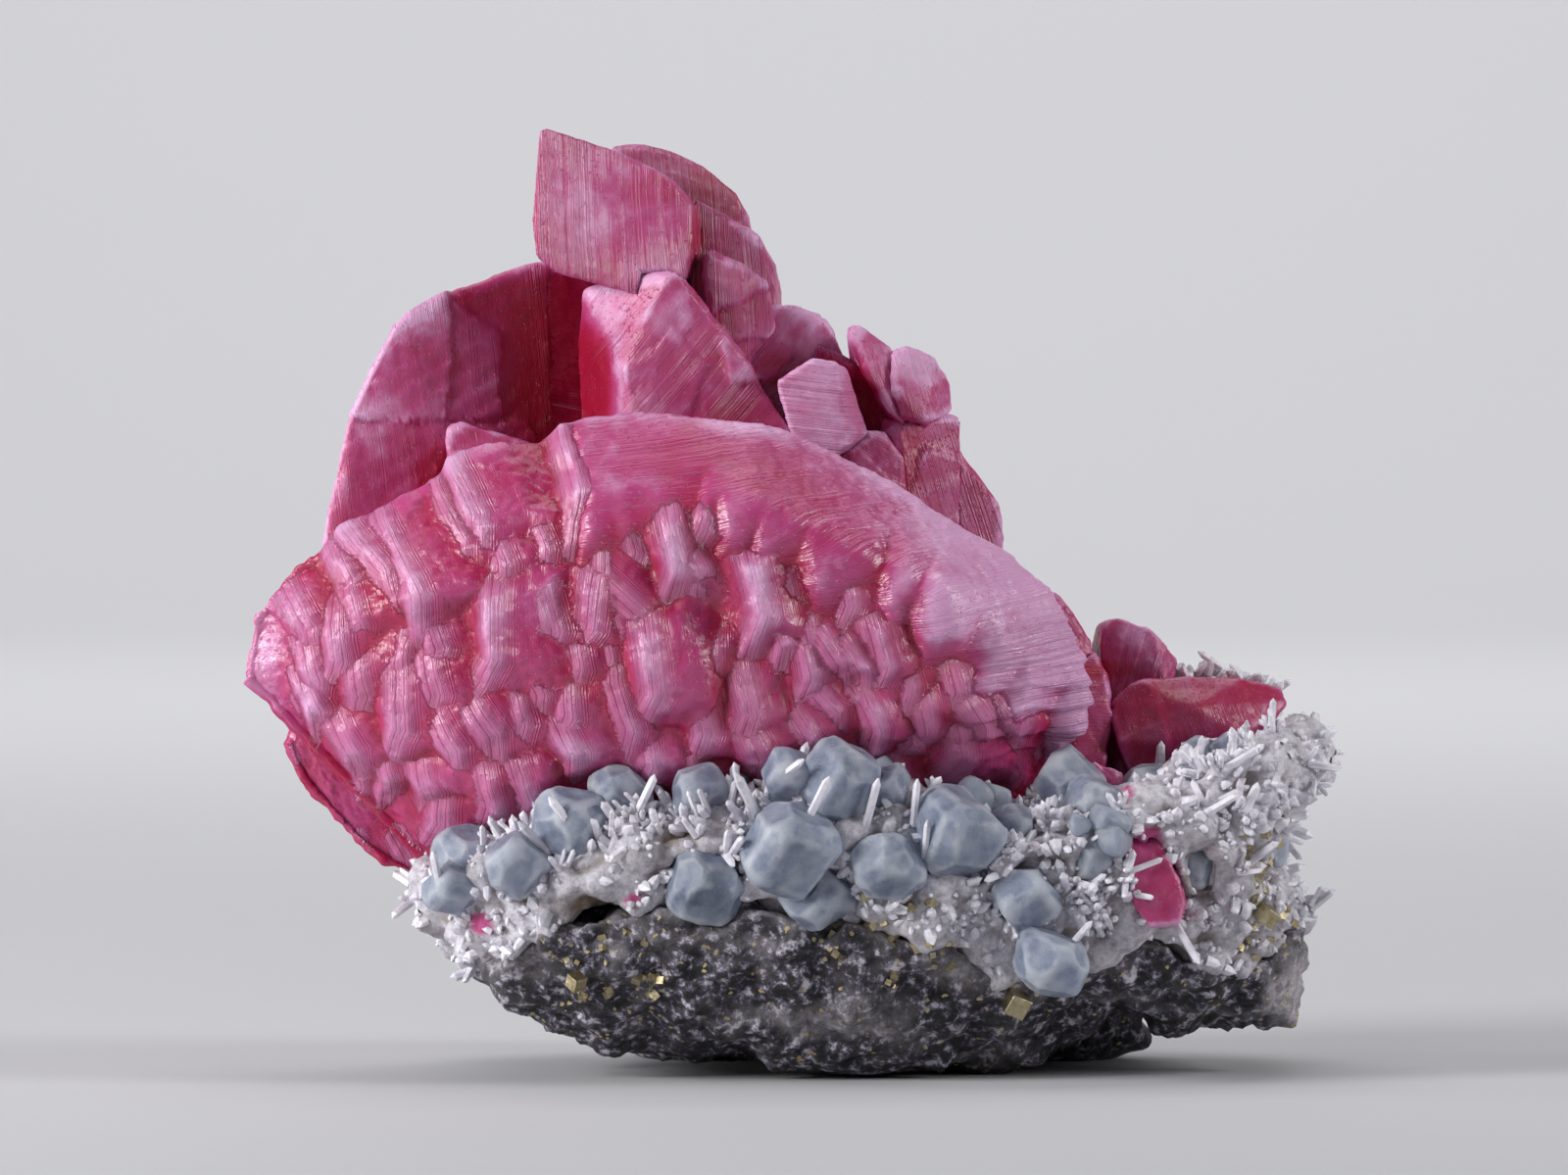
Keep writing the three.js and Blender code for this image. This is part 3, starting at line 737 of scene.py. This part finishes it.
def mosaic(points, low, noise):
    """How far the mosaic face stands out, its growth lines, and where the plate covers it."""
    warp = sum(noise.drift(points, apart, cell, (1, 2)) * depth for apart, cell, depth in WANDERING)
    across = points[:, 0] - low[0] + warp[:, 0]
    up = points[:, 2] - low[2] + warp[:, 1]
    height = np.full(len(points), VALLEY)
    lines = up.copy()
    random = np.random.default_rng(SEED)
    for x, z, rise, reach, broad, roundness in HILLS + small_hills(random):
        roundness *= ROUNDER
        near = (np.abs(across - x - 1) < AROUND + broad) & (np.abs(up - z - 2) < AROUND + reach)
        angle = random.normal(0, TWIST)
        here = hill(*turned(across[near] - x, up[near] - z, angle), rise, reach, broad, roundness)
        right, above = turned(points[near, 0] - low[0] - x, points[near, 2] - low[2] - z, angle)
        upper = right * RIDGE[0] + above * RIDGE[1]
        lower = right * EDGE[0] + above * EDGE[1]
        lines[near] = np.where(here > height[near], np.maximum(upper, lower), lines[near])
        height[near] = soft_max(height[near], here, width=MEETING)
    plate = plate_height(across, up)
    lines = np.where(plate > height, points[:, 2] - 0.12 * points[:, 0], lines)
    return soft_max(height, plate, width=MEETING_PLATE), lines, smoothstep(plate - height, -0.3, 0.3)


def relief(points, noise):
    return sum(depth * noise(points + away, cell) for away, cell, depth in RELIEF)


def front_crystal(material):
    node = "rhodochrosite_front"
    low = np.array(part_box(node)[0]) / MM
    piece = divided(node + "_grown", solid(node), longest=1.5, in_front=0.58)
    mesh = piece.data
    points, outward, edges = grow(piece, relaxing=3, smoothing=14)
    noise = Noise(SEED)
    height, lines, plate = mosaic(points, low, noise)
    right, up = points[:, 0] - low[0], points[:, 2] - low[2]
    ends = smoothstep(right, 84, 94) * smoothstep(up, 14, 22) * (1 - smoothstep(up, 26, 36))
    height += steps(-up + 0.4 * noise(points, 6.0), pitch=2.4, depth=0.9) * ends
    frontal = smoothstep(-outward[:, 1], 0.0, 0.5)
    rough = noise.layered(points, 5.0, 4) * 0.6
    moved = GROWN + frontal * height + (1 - frontal) * rough + relief(points, noise)
    points = points + outward * moved[:, None]
    write(mesh, points)
    # Painted light and shade: paler on crests, crimson in creases, with frost that varies at random.
    crest = (moved - spread(moved, edges, 60)) * frontal
    frost_and_painted_light = 0.42 + 0.38 * np.clip(crest, -1.0, 1.1) + 0.14 * noise.layered(points, 9.0)
    # Paler towards the plate's right end (painted highlight) and at the left tip; darker on faces turned
    # from the front (painted shade).
    frost_and_painted_light += 0.45 * smoothstep(right + 0.6 * up, 94, 112) * plate
    frost_and_painted_light += 0.35 * (1 - smoothstep(right, 2, 9)) - 0.25 * (1 - frontal)
    store(mesh, "frost_and_painted_light", frost_and_painted_light)
    store(mesh, "lines", lines)
    beside = np.exp(-(lines / 3.2) ** 2) * (1 - plate) + (0.45 + 0.5 * ends) * plate
    store(mesh, "ruled", 0.15 + 0.85 * beside * frontal)
    store(mesh, "rough", 0.29 + 0.10 * smoothstep(frost_and_painted_light, 0.6, 1.0))
    finish_piece(piece, material, node)


# ---------- the other pink crystals

# How each crystal's surface is grown: grain (longest edge in front), swell (cell, depth), layers
# (direction, pitch, depth), the direction that its growth lines are counted along, how strongly
# they show (ruled), frost_and_painted_light (its base tone), and raised plates (outline, rise, edge).
CRYSTALS = {
    "left": dict(
        grain=0.85, swell=(9, 0.5), layers=[((-0.55, 0, 0.84), 2.6, 0.35)],
        lines=(1, 0, 0.12), ruled=0.38, frost_and_painted_light=0.47,
        plates=[
            ([(-60, 50), (-60, 112), (-41.2, 96), (-41.2, 77), (-44.5, 64)], 0.4, 0.6),
            ([(-60, 79.7), (-60, 112), (-35, 89.5), (-35, 79.7)], 0.4, 0.4),
            ([(-41, 74.5), (-41, 78.8), (-32, 79.5), (-30.5, 77), (-31, 75)], 0.4, 0.4),
        ],
    ),
    "centre": dict(
        grain=0.90, swell=(8, 0.5), layers=[((0.76, 0, -0.64), 2.3, 0.25)],
        lines=(0.76, 0, -0.64), ruled=0.5, frost_and_painted_light=0.52,
        plates=[
            ([(-19, 70), (-19, 86), (-13.5, 91), (-9.5, 86), (-14, 70)], 0.3, 0.7),
            ([(-7, 84), (-8, 91), (-2, 94.5), (5, 92.5), (7, 85)], 0.5, 0.6),
        ],
    ),
    "top": dict(
        grain=0.68, swell=(8, 0.3), layers=[((0.24, 0, 0.97), 2.2, 0.12)],
        lines=(1, 0, 0.05), ruled=0.7, frost_and_painted_light=0.40,
        plates=[
            ([(-10.5, 92), (-11, 106), (-3, 102), (-1.4, 96)], 0.5, 0.5),
            ([(-9, 88), (-9, 100), (-3, 97), (-1, 90)], 0.5, 0.4),
        ],
    ),
    "small_rhomb": dict(
        grain=0.40, swell=(4, 0.2), layers=[((0.1, 0, 1), 1.1, 0.30)],
        lines=(0.1, 0, 1), ruled=1.2, frost_and_painted_light=0.70,
    ),
    "dome": dict(
        grain=0.6, swell=(5, 0.3), layers=[((0.7, 0, 0.7), 3.0, 0.2)],
        lines=(0.5, 0, 1), ruled=0.4, frost_and_painted_light=0.5,
    ),
    "right": dict(
        grain=0.74, swell=(7, 0.5), layers=[((-0.3, 0, 0.95), 4.2, 0.5)],
        lines=(0.95, 0, 0.3), ruled=0.5, frost_and_painted_light=0.46,
        plates=[
            ([(14, 68), (17, 76), (21.5, 74.5), (26.5, 68), (26, 60), (18, 62)], 0.4, 0.5),
        ],
    ),
    "shoulder": dict(
        grain=0.6, swell=(5, 0.5), layers=[((0.5, 0, 0.8), 3.0, 0.3)],
        lines=(0.8, 0, 0.5), ruled=0.35, frost_and_painted_light=0.44,
    ),
    "column": dict(
        grain=0.6, swell=(4, 0.5), layers=[((0.1, 0, 1), 2.4, 0.3)],
        lines=(0.1, 0, 1), ruled=0.35, frost_and_painted_light=0.36,
    ),
    "fan": dict(
        grain=0.42, swell=(4, 0.5), layers=[((1, 0, -0.3), 2.4, 0.5)],
        lines=(1, 0, -0.3), ruled=0.5, frost_and_painted_light=0.5,
    ),
    "long": dict(
        grain=0.6, swell=(6, 0.5), layers=[((0.9, 0, 0.3), 5.0, 0.35)],
        lines=(0.9, 0, 0.35), ruled=0.25, frost_and_painted_light=0.30,
    ),
    "notch": dict(
        grain=0.4, swell=(2.2, 0.5),
        lines=(1, 0, 0), ruled=0.2, frost_and_painted_light=0.46,
    ),
    "vein": dict(
        grain=0.42, swell=(2.5, 0.6), lines=(0, 0, 1), ruled=0.15, frost_and_painted_light=0.46,
    ),
}

# Painted shade, painted light and frost on the upper crystals: deeper crimson in shaded recesses,
# paler where frosted and where lit: (x, z, half width, half height, change in frost_and_painted_light).
PAINTED_SHADE_LIGHT_AND_FROST = [
    (-28.5, 86, 8.0, 15, -0.75), (-36, 95, 9, 5, -0.22), (-33, 86, 3, 4, 0.25), (-42.5, 72, 3.5, 6, -0.42),
    (-50, 85, 5, 16, 0.14), (-45, 91, 6, 3, 0.15), (-23, 83, 3.4, 9, -0.65), (-20.5, 83, 1.6, 9, 0.25),
    (-22, 92, 3, 3, 0.16), (-13, 92, 5, 4, 0.12), (-6, 80, 8, 4, -0.22), (-8, 88, 4, 5, -0.1),
    (-10.5, 99, 1.5, 9, -0.35), (-14, 108, 12, 3, -0.12), (-20, 106, 12, 9, 0.18), (-8, 108, 6, 6, -0.2),
    (2, 90, 6, 4, 0.1), (-1, 86, 3, 4, -0.25), (9.5, 83, 3.4, 6, -0.34), (16.5, 86, 4, 3.5, 0.4),
    (13, 88, 3, 3, 0.12), (15.5, 76, 2, 8, -0.2), (21, 69, 5, 4, 0.12), (24, 63, 5, 3, -0.2),
    (43, 53, 4, 2.5, 0.1), (40, 49, 6, 1.6, -0.3), (57, 46, 4, 3, -0.1),
]

# Crystals that only the looks need: they close the gaps between the imported ones, and their darker,
# duller pink is painted shade for the deep gaps.
SHADED_FILLERS = {
    "cleft": dict(
        corners=[
            (-29, 6.4, 98), (-29, 6.4, 60), (-17, 5.2, 60), (-17, 5.2, 96.5),
            (-29, 14, 98), (-29, 14, 60), (-17, 14, 60), (-17, 14, 96.5),
        ],
        grain=0.7, swell=(5, 0.5), layers=[((0.2, 0, 1), 1.9, 0.2)],
        lines=(0.2, 0, 1), ruled=0.4, frost_and_painted_light=0.30,
    ),
    "between_right": dict(
        corners=[
            (4, 1, 89), (8.5, 0, 86.5), (12.5, 1, 84), (15, 2, 76), (15, 2, 60), (4, 1, 60),
            (5, 14, 88), (12, 14, 84), (15, 14, 66), (5, 14, 66),
        ],
        grain=0.7, swell=(5, 0.5),
        lines=(1, 0, 0.2), ruled=0.4, frost_and_painted_light=0.26,
    ),
}


def pink_crystal(name, how, material, seed):
    """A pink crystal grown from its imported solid, or from its own corners."""
    grain = how["grain"]
    if "corners" in how:
        piece = divided(name, hull(how["corners"]), longest=2 * grain, in_front=grain)
        replaced = None
    else:
        piece = divided(name + "_grown", solid(name), longest=2 * grain, in_front=grain)
        replaced = name
    mesh = piece.data
    points, outward, edges = grow(piece, relaxing=1, smoothing=3)
    noise = Noise(seed)
    cell, depth = how["swell"]
    moved = GROWN + 0.5 * depth * noise.layered(points, cell, 3, 0.4) + 0.45 * relief(points, noise)
    frontal = smoothstep(-outward[:, 1], -0.1, 0.5)
    warped = points + 0.6 * noise.drift(points, 50, 7.0, range(3))
    warped += 0.2 * noise.drift(points, 70, 2.0, range(3))
    for direction, pitch, rise in how.get("layers", []):
        moved += steps(warped @ np.array(direction), pitch, rise) * (0.5 + 0.5 * noise(points, 11))
    for outline, rise, edge in how.get("plates", []):
        moved += shelf(warped, outline, rise, edge) * frontal
    points = points + outward * moved[:, None]
    write(mesh, points)
    # Paler on rims (frost and painted highlight) and on crests, crimson in creases (painted shade), then
    # the painted spots.
    crest = moved - spread(moved, edges, 40)
    rims = smoothstep(((points - relax(points, edges, 8)) * outward).sum(1), 0.10, 0.40)
    frost_and_painted_light = how["frost_and_painted_light"] + 0.26 * rims + 0.30 * np.clip(crest, -0.8, 0.8)
    frost_and_painted_light += 0.12 * noise.layered(points, 7.0) + 0.08 * noise.layered(points, 1.6)
    frost_and_painted_light = spotted(points, PAINTED_SHADE_LIGHT_AND_FROST, frost_and_painted_light)
    store(mesh, "frost_and_painted_light", frost_and_painted_light)
    store(mesh, "lines", points @ np.array(how["lines"]) + 0.25 * noise(points, 8.0))
    store(mesh, "ruled", how["ruled"] + 0.3 * noise.layered(points, 9.0))
    store(mesh, "rough", 0.36 + 0.12 * smoothstep(frost_and_painted_light, 0.3, 0.8))
    finish_piece(piece, material, replaced)


# ---------- crust, fluorite, needles and rock

# Tables of soft spots, seen from the front: x, z, half width, half height and how much.

# Brown stained hollows of the crust, and dark holes with painted shade.
STAINS_AND_SHADE = [
    (-24, 21, 7, 3.5, 0.9), (-5.5, 26.5, 2.5, 2.5, 1.0), (57, 26, 4, 3.5, 0.8), (36, 31, 4, 1.5, 0.5),
    (12, 18, 5, 2.5, 0.6), (-38, 26, 3, 3, 0.4), (26, 32.5, 3, 1.2, 0.9), (4, 17, 4, 2, 0.6),
    (-12, 30, 4, 2, 0.7), (17, 27, 3, 3, 0.6), (33, 27, 3, 2, 0.5), (-31, 22, 3, 2, 0.6),
]

# Patches where pink crystal shows through the crust.
BLUSHES = [
    (-36.5, 19, 2.4, 2.0, 1.3), (-33, 12.5, 3.2, 2.2, 1.3), (-18, 22.5, 2.2, 1.6, 1.2),
    (39.5, 35.5, 4.0, 3.0, 1.3), (44, 29.5, 3.0, 2.4, 1.3),
]

# Where long needles stand thick.
THICKETS = [(38, 22, 12, 8, 5.0), (46, 39, 12, 4, 4.0), (-10, 33, 12, 5, 2.0), (8, 36, 12, 5, 2.0),
            (60, 37, 7, 5, 0.8), (-33, 30, 8, 5, 1.5)]

# Where small fluorites crowd.
FLUORITE_BEDS = [
    (-37, 26, 7, 5, 5), (-24, 32, 9, 4, 4), (-9, 34, 7, 4, 3), (8, 35, 12, 5, 5), (23, 31, 8, 5, 5),
    (38, 31, 8, 6, 6), (50, 33, 8, 6, 4), (33, 17, 8, 6, 5), (-2, 23, 9, 4, 3), (-38, 15, 4, 5, 3),
]

# Pale, quartz-rich parts of the rock.
PALE_ROCK = [(8, 8, 15, 4.5, 0.6), (62, 10, 5, 8, 1.0), (-30, 14, 6, 3, 0.5), (20, 14, 8, 3, 0.5)]

# Clusters of small pyrite: x, y, z and radius.
PYRITE_SPOTS = [
    (59, -22, 28, 6), (60, -20, 19, 6), (27.3, -33, 9.4, 5), (-20, -28, 13, 7), (8, -33, 20, 6),
    (16, -30, 17, 6), (48, 20, 14, 6), (-20, 26, 16, 7),
]

BITE = ((68, 0, 27), (13, 60, 9))  # middle and reach of the hollow in the crust's right end
BITE_DEPTH = 5.0
HOLLOW_DEPTH = 1.8  # how deep a hollow is where its stain and shade spot is full
SHORT_NEEDLES, SPRAYS, TUFT_NEEDLES = 4800, 380, 420
SMALL_FLUORITES, SMALL_PYRITES = 90, 170
FLUORITE_CUTS = 9  # flat faces cut on each fluorite
SQUARENESS = 7  # 2 makes the small fluorites balls, and more makes them squarer
PYRITE_SIZES = (0.18, 0.55)
ABOVE_FLOOR = 0.02


def crust_surface(material):
    node = "quartz_crust"
    piece = remeshed(node + "_grown", solid(node), voxel=0.78)
    mesh = piece.data
    points, outward, edges = grow(piece, relaxing=4, smoothing=10)
    noise = Noise(SEED + 40)
    lumps = noise.cells(points + 0.8 * noise(points, 4.0)[:, None], 5.2)
    beads = noise.cells(points, 2.0)
    moved = 3.2 * (0.55 - lumps) + 1.2 * (0.6 - beads) + 1.6 * noise.layered(points, 9.0, 3)
    moved -= BITE_DEPTH * ball(points, *BITE)
    stain_and_shade = spotted(points, STAINS_AND_SHADE)
    moved -= HOLLOW_DEPTH * np.clip(stain_and_shade, 0, 1)
    points = points + outward * (GROWN + moved)[:, None]
    write(mesh, points)
    crease = spread(moved, edges, 25) - moved
    # Darker in creases: dirt and painted shade.
    stain_and_shade = 0.75 * stain_and_shade + 0.70 * smoothstep(crease, 0.10, 0.8) + 0.30 * noise.layered(points, 8.0)
    store(mesh, "stain_and_shade", np.clip(stain_and_shade, 0, 1))
    blush = spotted(points, BLUSHES) * smoothstep(-outward[:, 1], 0, 0.4)
    store(mesh, "blush", smoothstep(blush + 0.3 * noise(points, 1.5), 0.35, 0.75))
    finish_piece(piece, material, node)
    return piece


def needle_cloud(name, roots, aims, lengths, widths, material, random):
    """One mesh of six-sided quartz needles with pointed tips."""
    side = unit(np.cross(aims, random.normal(size=aims.shape)))
    other = np.cross(aims, side)
    turn = np.arange(6) * math.pi / 3
    ring = np.cos(turn)[None, :, None] * side[:, None] + np.sin(turn)[None, :, None] * other[:, None]
    ring *= widths[:, None, None] * random.uniform(0.75, 1.2, (len(roots), 6, 1))
    foot = roots[:, None] + ring - 0.5 * widths[:, None, None] * aims[:, None]
    shoulder = roots[:, None] + ring * 0.86 + (lengths - 1.1 * widths)[:, None, None] * aims[:, None]
    tip = roots + aims * lengths[:, None] + side * (0.25 * widths)[:, None]
    verts = np.concatenate([foot, shoulder, tip[:, None]], axis=1).reshape(-1, 3)
    faces = []
    for i in range(6):
        j = (i + 1) % 6
        faces.append((i, j, 6 + j, 6 + i))
        faces.append((6 + i, 6 + j, 12))
    piece = new_piece(name, verts, repeated(faces, len(roots), 13))
    finish_piece(piece, material, smooth=False)


def repeated(faces, count, corners):
    """The faces of many equal bodies, whose corners follow each other."""
    return [tuple(v + corners * n for v in face) for n in range(count) for face in faces]


def pick(weights, count, random):
    return random.choice(len(weights), count, replace=False, p=weights / weights.sum())


def scattered_aims(outward, spread_out, random, lift=0.0):
    """Directions that differ at random from the outward ones, and lean up by a lift."""
    return unit(outward + random.normal(0, spread_out, outward.shape) + np.array([0, 0, lift]))


def druse(ground, material):
    """Short quartz crystals all over the crust, and sprays of longer needles."""
    random = np.random.default_rng(SEED + 50)
    noise = Noise(SEED + 51)
    points = read(ground.data)
    outward = normals(ground.data)
    open_side = smoothstep(outward[:, 2], -0.75, 0.0) * (1 + smoothstep(-outward[:, 1], 0, 0.6))
    patchy = np.clip(0.55 + noise.layered(points, 9.0), 0.05, 2)
    bare = 1 - 0.85 * np.clip(spotted(points, STAINS_AND_SHADE + BLUSHES), 0, 1)
    chosen = pick(open_side * patchy * bare, SHORT_NEEDLES, random)
    lengths = np.clip(random.lognormal(-0.05, 0.4, len(chosen)), 0.5, 2.2)
    widths = np.clip(lengths * random.uniform(0.28, 0.6, len(chosen)), 0.25, 0.8)
    aims = scattered_aims(outward[chosen], 0.5, random)
    needle_cloud("quartz_druse", points[chosen], aims, lengths, widths, material, random)

    chosen = pick(open_side * (0.25 + spotted(points, THICKETS)), SPRAYS, random)
    chosen = np.repeat(chosen, random.integers(2, 8, len(chosen)))
    lengths = np.clip(random.lognormal(0.95, 0.35, len(chosen)), 1.2, 5.5)
    widths = random.uniform(0.25, 0.5, len(chosen)) * (0.7 + 0.16 * lengths)
    aims = scattered_aims(outward[chosen], 0.55, random, lift=0.25)
    roots = points[chosen] + random.normal(0, 0.35, (len(chosen), 3))
    needle_cloud("quartz_sprays", roots, aims, lengths, widths, material, random)


def cut_faces(points, centre, size, random):
    """Points of a rounded body pressed onto flat faces that are cut at random around it."""
    for aim in unit(random.normal(size=(FLUORITE_CUTS, 3))):
        over = (points - centre) @ aim - size * random.uniform(0.72, 0.95)
        points = points - np.maximum(over, 0)[:, None] * aim
    return points


def random_turn(random):
    """A rotation, drawn at random."""
    turn = np.linalg.qr(random.normal(size=(3, 3)))[0]
    if np.linalg.det(turn) < 0:
        turn[0] = -turn[0]
    return turn


def fluorite_crystals(material):
    names = [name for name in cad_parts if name.startswith("fluorite")]
    for number, node in enumerate(names):
        piece = divided(node + "_grown", solid(node), longest=1.1, in_front=0.62)
        mesh = piece.data
        points, outward, edges = grow(piece, relaxing=1, smoothing=2)
        noise = Noise(SEED + 60 + number)
        centre = points.mean(0)
        size = np.linalg.norm(points - centre, axis=1).mean() * 1.16
        points = points + outward * (0.5 + 0.35 * noise(points, 4.0))[:, None]
        points = cut_faces(points, centre, size, np.random.default_rng(SEED + 200 + number))
        points = points + outward * (0.06 * noise(points, 1.2) + 0.1 * noise(points, 2.5))[:, None]
        write(mesh, points)
        bend = ((relax(points, edges, 6) - points) * outward).sum(1)
        # Whiter in clouds of frost, and along convex edges as a painted highlight.
        frost_and_painted_light = 0.10 + 0.5 * noise.layered(points, 3.5) + 0.5 * smoothstep(-bend, 0.05, 0.16)
        store(mesh, "frost_and_painted_light", np.clip(frost_and_painted_light, 0, 1))
        finish_piece(piece, material, node)


def small_fluorites(ground, material):
    """Small rounded cubes half sunk in the crust."""
    random = np.random.default_rng(SEED + 90)
    points = read(ground.data)
    outward = normals(ground.data)
    crowded = 0.15 + spotted(points, FLUORITE_BEDS)
    chosen = pick(smoothstep(outward[:, 2], -0.6, 0.2) * crowded, SMALL_FLUORITES, random)
    block = bmesh.new()
    bmesh.ops.create_cube(block, size=2.0)
    bmesh.ops.subdivide_edges(block, edges=block.edges[:], cuts=5, use_grid_fill=True)
    block.verts.ensure_lookup_table()
    cube = np.array([vertex.co[:] for vertex in block.verts])
    faces = [tuple(vertex.index for vertex in face.verts) for face in block.faces]
    block.free()
    cube /= (np.abs(cube) ** SQUARENESS).sum(1)[:, None] ** (1 / SQUARENESS)
    verts = []
    for root in chosen:
        turn = random_turn(random)
        size = random.uniform(1.0, 3.0) * random.uniform(0.8, 1.15, 3)
        body = cut_faces((cube * size) @ turn, np.zeros(3), size.mean() * 1.2, random)
        verts.append(body + points[root] + outward[root] * size.mean() * 0.3)
    verts = np.concatenate(verts)
    verts += 0.12 * np.column_stack([Noise(SEED + 91 + n)(verts, 1.8) for n in range(3)])
    piece = new_piece("fluorite_small", verts, repeated(faces, len(chosen), len(cube)))
    store(piece.data, "frost_and_painted_light", 0.35 + 0.3 * Noise(SEED + 95)(verts, 2.0))
    finish_piece(piece, material)


def small_pyrite(grounds, material):
    """Small crystals of cubic habit, set in the surfaces near some spots."""
    random = np.random.default_rng(SEED + 150)
    points = np.concatenate([read(ground.data) for ground in grounds])
    near = np.zeros(len(points))
    for x, y, z, radius in PYRITE_SPOTS:
        near += np.linalg.norm(points - np.array([x, y, z]), axis=1) < radius
    chosen = pick(near + 1e-6, SMALL_PYRITES, random)
    cube = np.array([(a, b, c) for a in (-1, 1) for b in (-1, 1) for c in (-1, 1)], float)
    sides = [(0, 1, 3, 2), (4, 6, 7, 5), (0, 4, 5, 1), (2, 3, 7, 6), (0, 2, 6, 4), (1, 5, 7, 3)]
    verts = []
    for root in points[chosen]:
        turn = random_turn(random)
        verts.append((cube * random.uniform(*PYRITE_SIZES)) @ turn + root)
    piece = new_piece("pyrite_small", np.concatenate(verts), repeated(sides, len(chosen), len(cube)))
    finish_piece(piece, material, smooth=False)


def quartz_tuft(material, needles):
    """The white quartz that grows behind and on top of the long crystal."""
    corner_points = [
        (42, 3, 48.6), (46, 3, 49.4), (50, 5, 48.6), (55, 5, 49.2), (60, 5, 46.6), (61, 9, 44),
        (42, 12, 47), (60, 14, 44), (42, 5, 42), (60, 5, 41), (44, 14, 40), (58, 15, 40),
    ]
    piece = remeshed("quartz_tuft", hull(corner_points), voxel=0.6)
    mesh = piece.data
    points, outward, _ = grow(piece, relaxing=3, smoothing=6)
    noise = Noise(SEED + 140)
    moved = 1.6 * (0.5 - noise.cells(points, 3.0)) + 0.8 * noise.layered(points, 5.0, 3)
    points = points + outward * moved[:, None]
    write(mesh, points)
    store(mesh, "stain_and_shade", np.clip(0.5 * noise.layered(points, 4.0), 0, 1))
    finish_piece(piece, material)
    random = np.random.default_rng(SEED + 141)
    outward = normals(mesh)
    chosen = pick(smoothstep(outward[:, 2], -0.3, 0.3), TUFT_NEEDLES, random)
    lengths = np.clip(random.lognormal(0.05, 0.45, len(chosen)), 0.5, 3.0)
    aims = scattered_aims(outward[chosen], 0.5, random)
    widths = np.clip(lengths * random.uniform(0.2, 0.45, len(chosen)), 0.22, 0.6)
    needle_cloud("quartz_tuft_needles", points[chosen], aims, lengths, widths, needles, random)


def rock_surface(material):
    node = "matrix_rock"
    piece = remeshed(node + "_grown", solid(node), voxel=0.72)
    mesh = piece.data
    points, outward, _ = grow(piece, relaxing=3, smoothing=8)
    noise = Noise(SEED + 120)
    crumbs = noise.cells(points, 2.3)
    chips = noise.cells(points + noise(points, 3.0)[:, None], 6.0)
    moved = 1.2 * noise.layered(points, 9.0, 5, 0.55) + 2.6 * (0.5 - chips) + 1.1 * (0.6 - crumbs)
    off_floor = smoothstep(points[:, 2], 0.2, 2.5)
    points = points + outward * ((0.1 + moved) * off_floor)[:, None]
    points[:, 2] = np.maximum(points[:, 2], ABOVE_FLOOR)
    write(mesh, points)
    # Upward faces made paler: painted light from above.
    painted_top_light = 0.5 * smoothstep(normals(mesh)[:, 2], -0.1, 0.5)
    pale = spotted(points, PALE_ROCK) + painted_top_light + 0.4 * noise(points, 5.0)
    store(mesh, "pale", np.clip(pale, 0, 1))
    finish_piece(piece, material, node)
    return piece


def dress_nodes(prefix, material, bevel):
    """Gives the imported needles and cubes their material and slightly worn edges."""
    for name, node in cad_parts.items():
        if name.startswith(prefix):
            node.data.materials.clear()
            node.data.materials.append(material)
            worn = node.modifiers.new("worn", "BEVEL")
            worn.width = bevel * MM
            worn.segments = 2


# ---------- the scene

set_camera()
add_floor()
add_studio()
pink = rhodochrosite("rhodochrosite", index=1.66, shade=1.0)
# A darker, less glossy copy of the pink: painted shade for the filler crystals in the gaps.
shaded_pink = rhodochrosite("rhodochrosite_painted_shade", index=1.2, shade=0.5)
front_crystal(pink)
for number, (name, how) in enumerate({**CRYSTALS, **SHADED_FILLERS}.items()):
    kind = shaded_pink if name in SHADED_FILLERS else pink
    pink_crystal("rhodochrosite_" + name, how, kind, SEED + number)
ground = crust_surface(crust())
milky = quartz()
druse(ground, milky)
pale_blue = fluorite()
fluorite_crystals(pale_blue)
small_fluorites(ground, pale_blue)
quartz_tuft(ground.data.materials[0], milky)
stone = rock_surface(broken_rock())
brass = pyrite()
small_pyrite([ground, stone], brass)
dress_nodes("quartz_needle", milky, bevel=0.12)
dress_nodes("pyrite", brass, bevel=0.2)
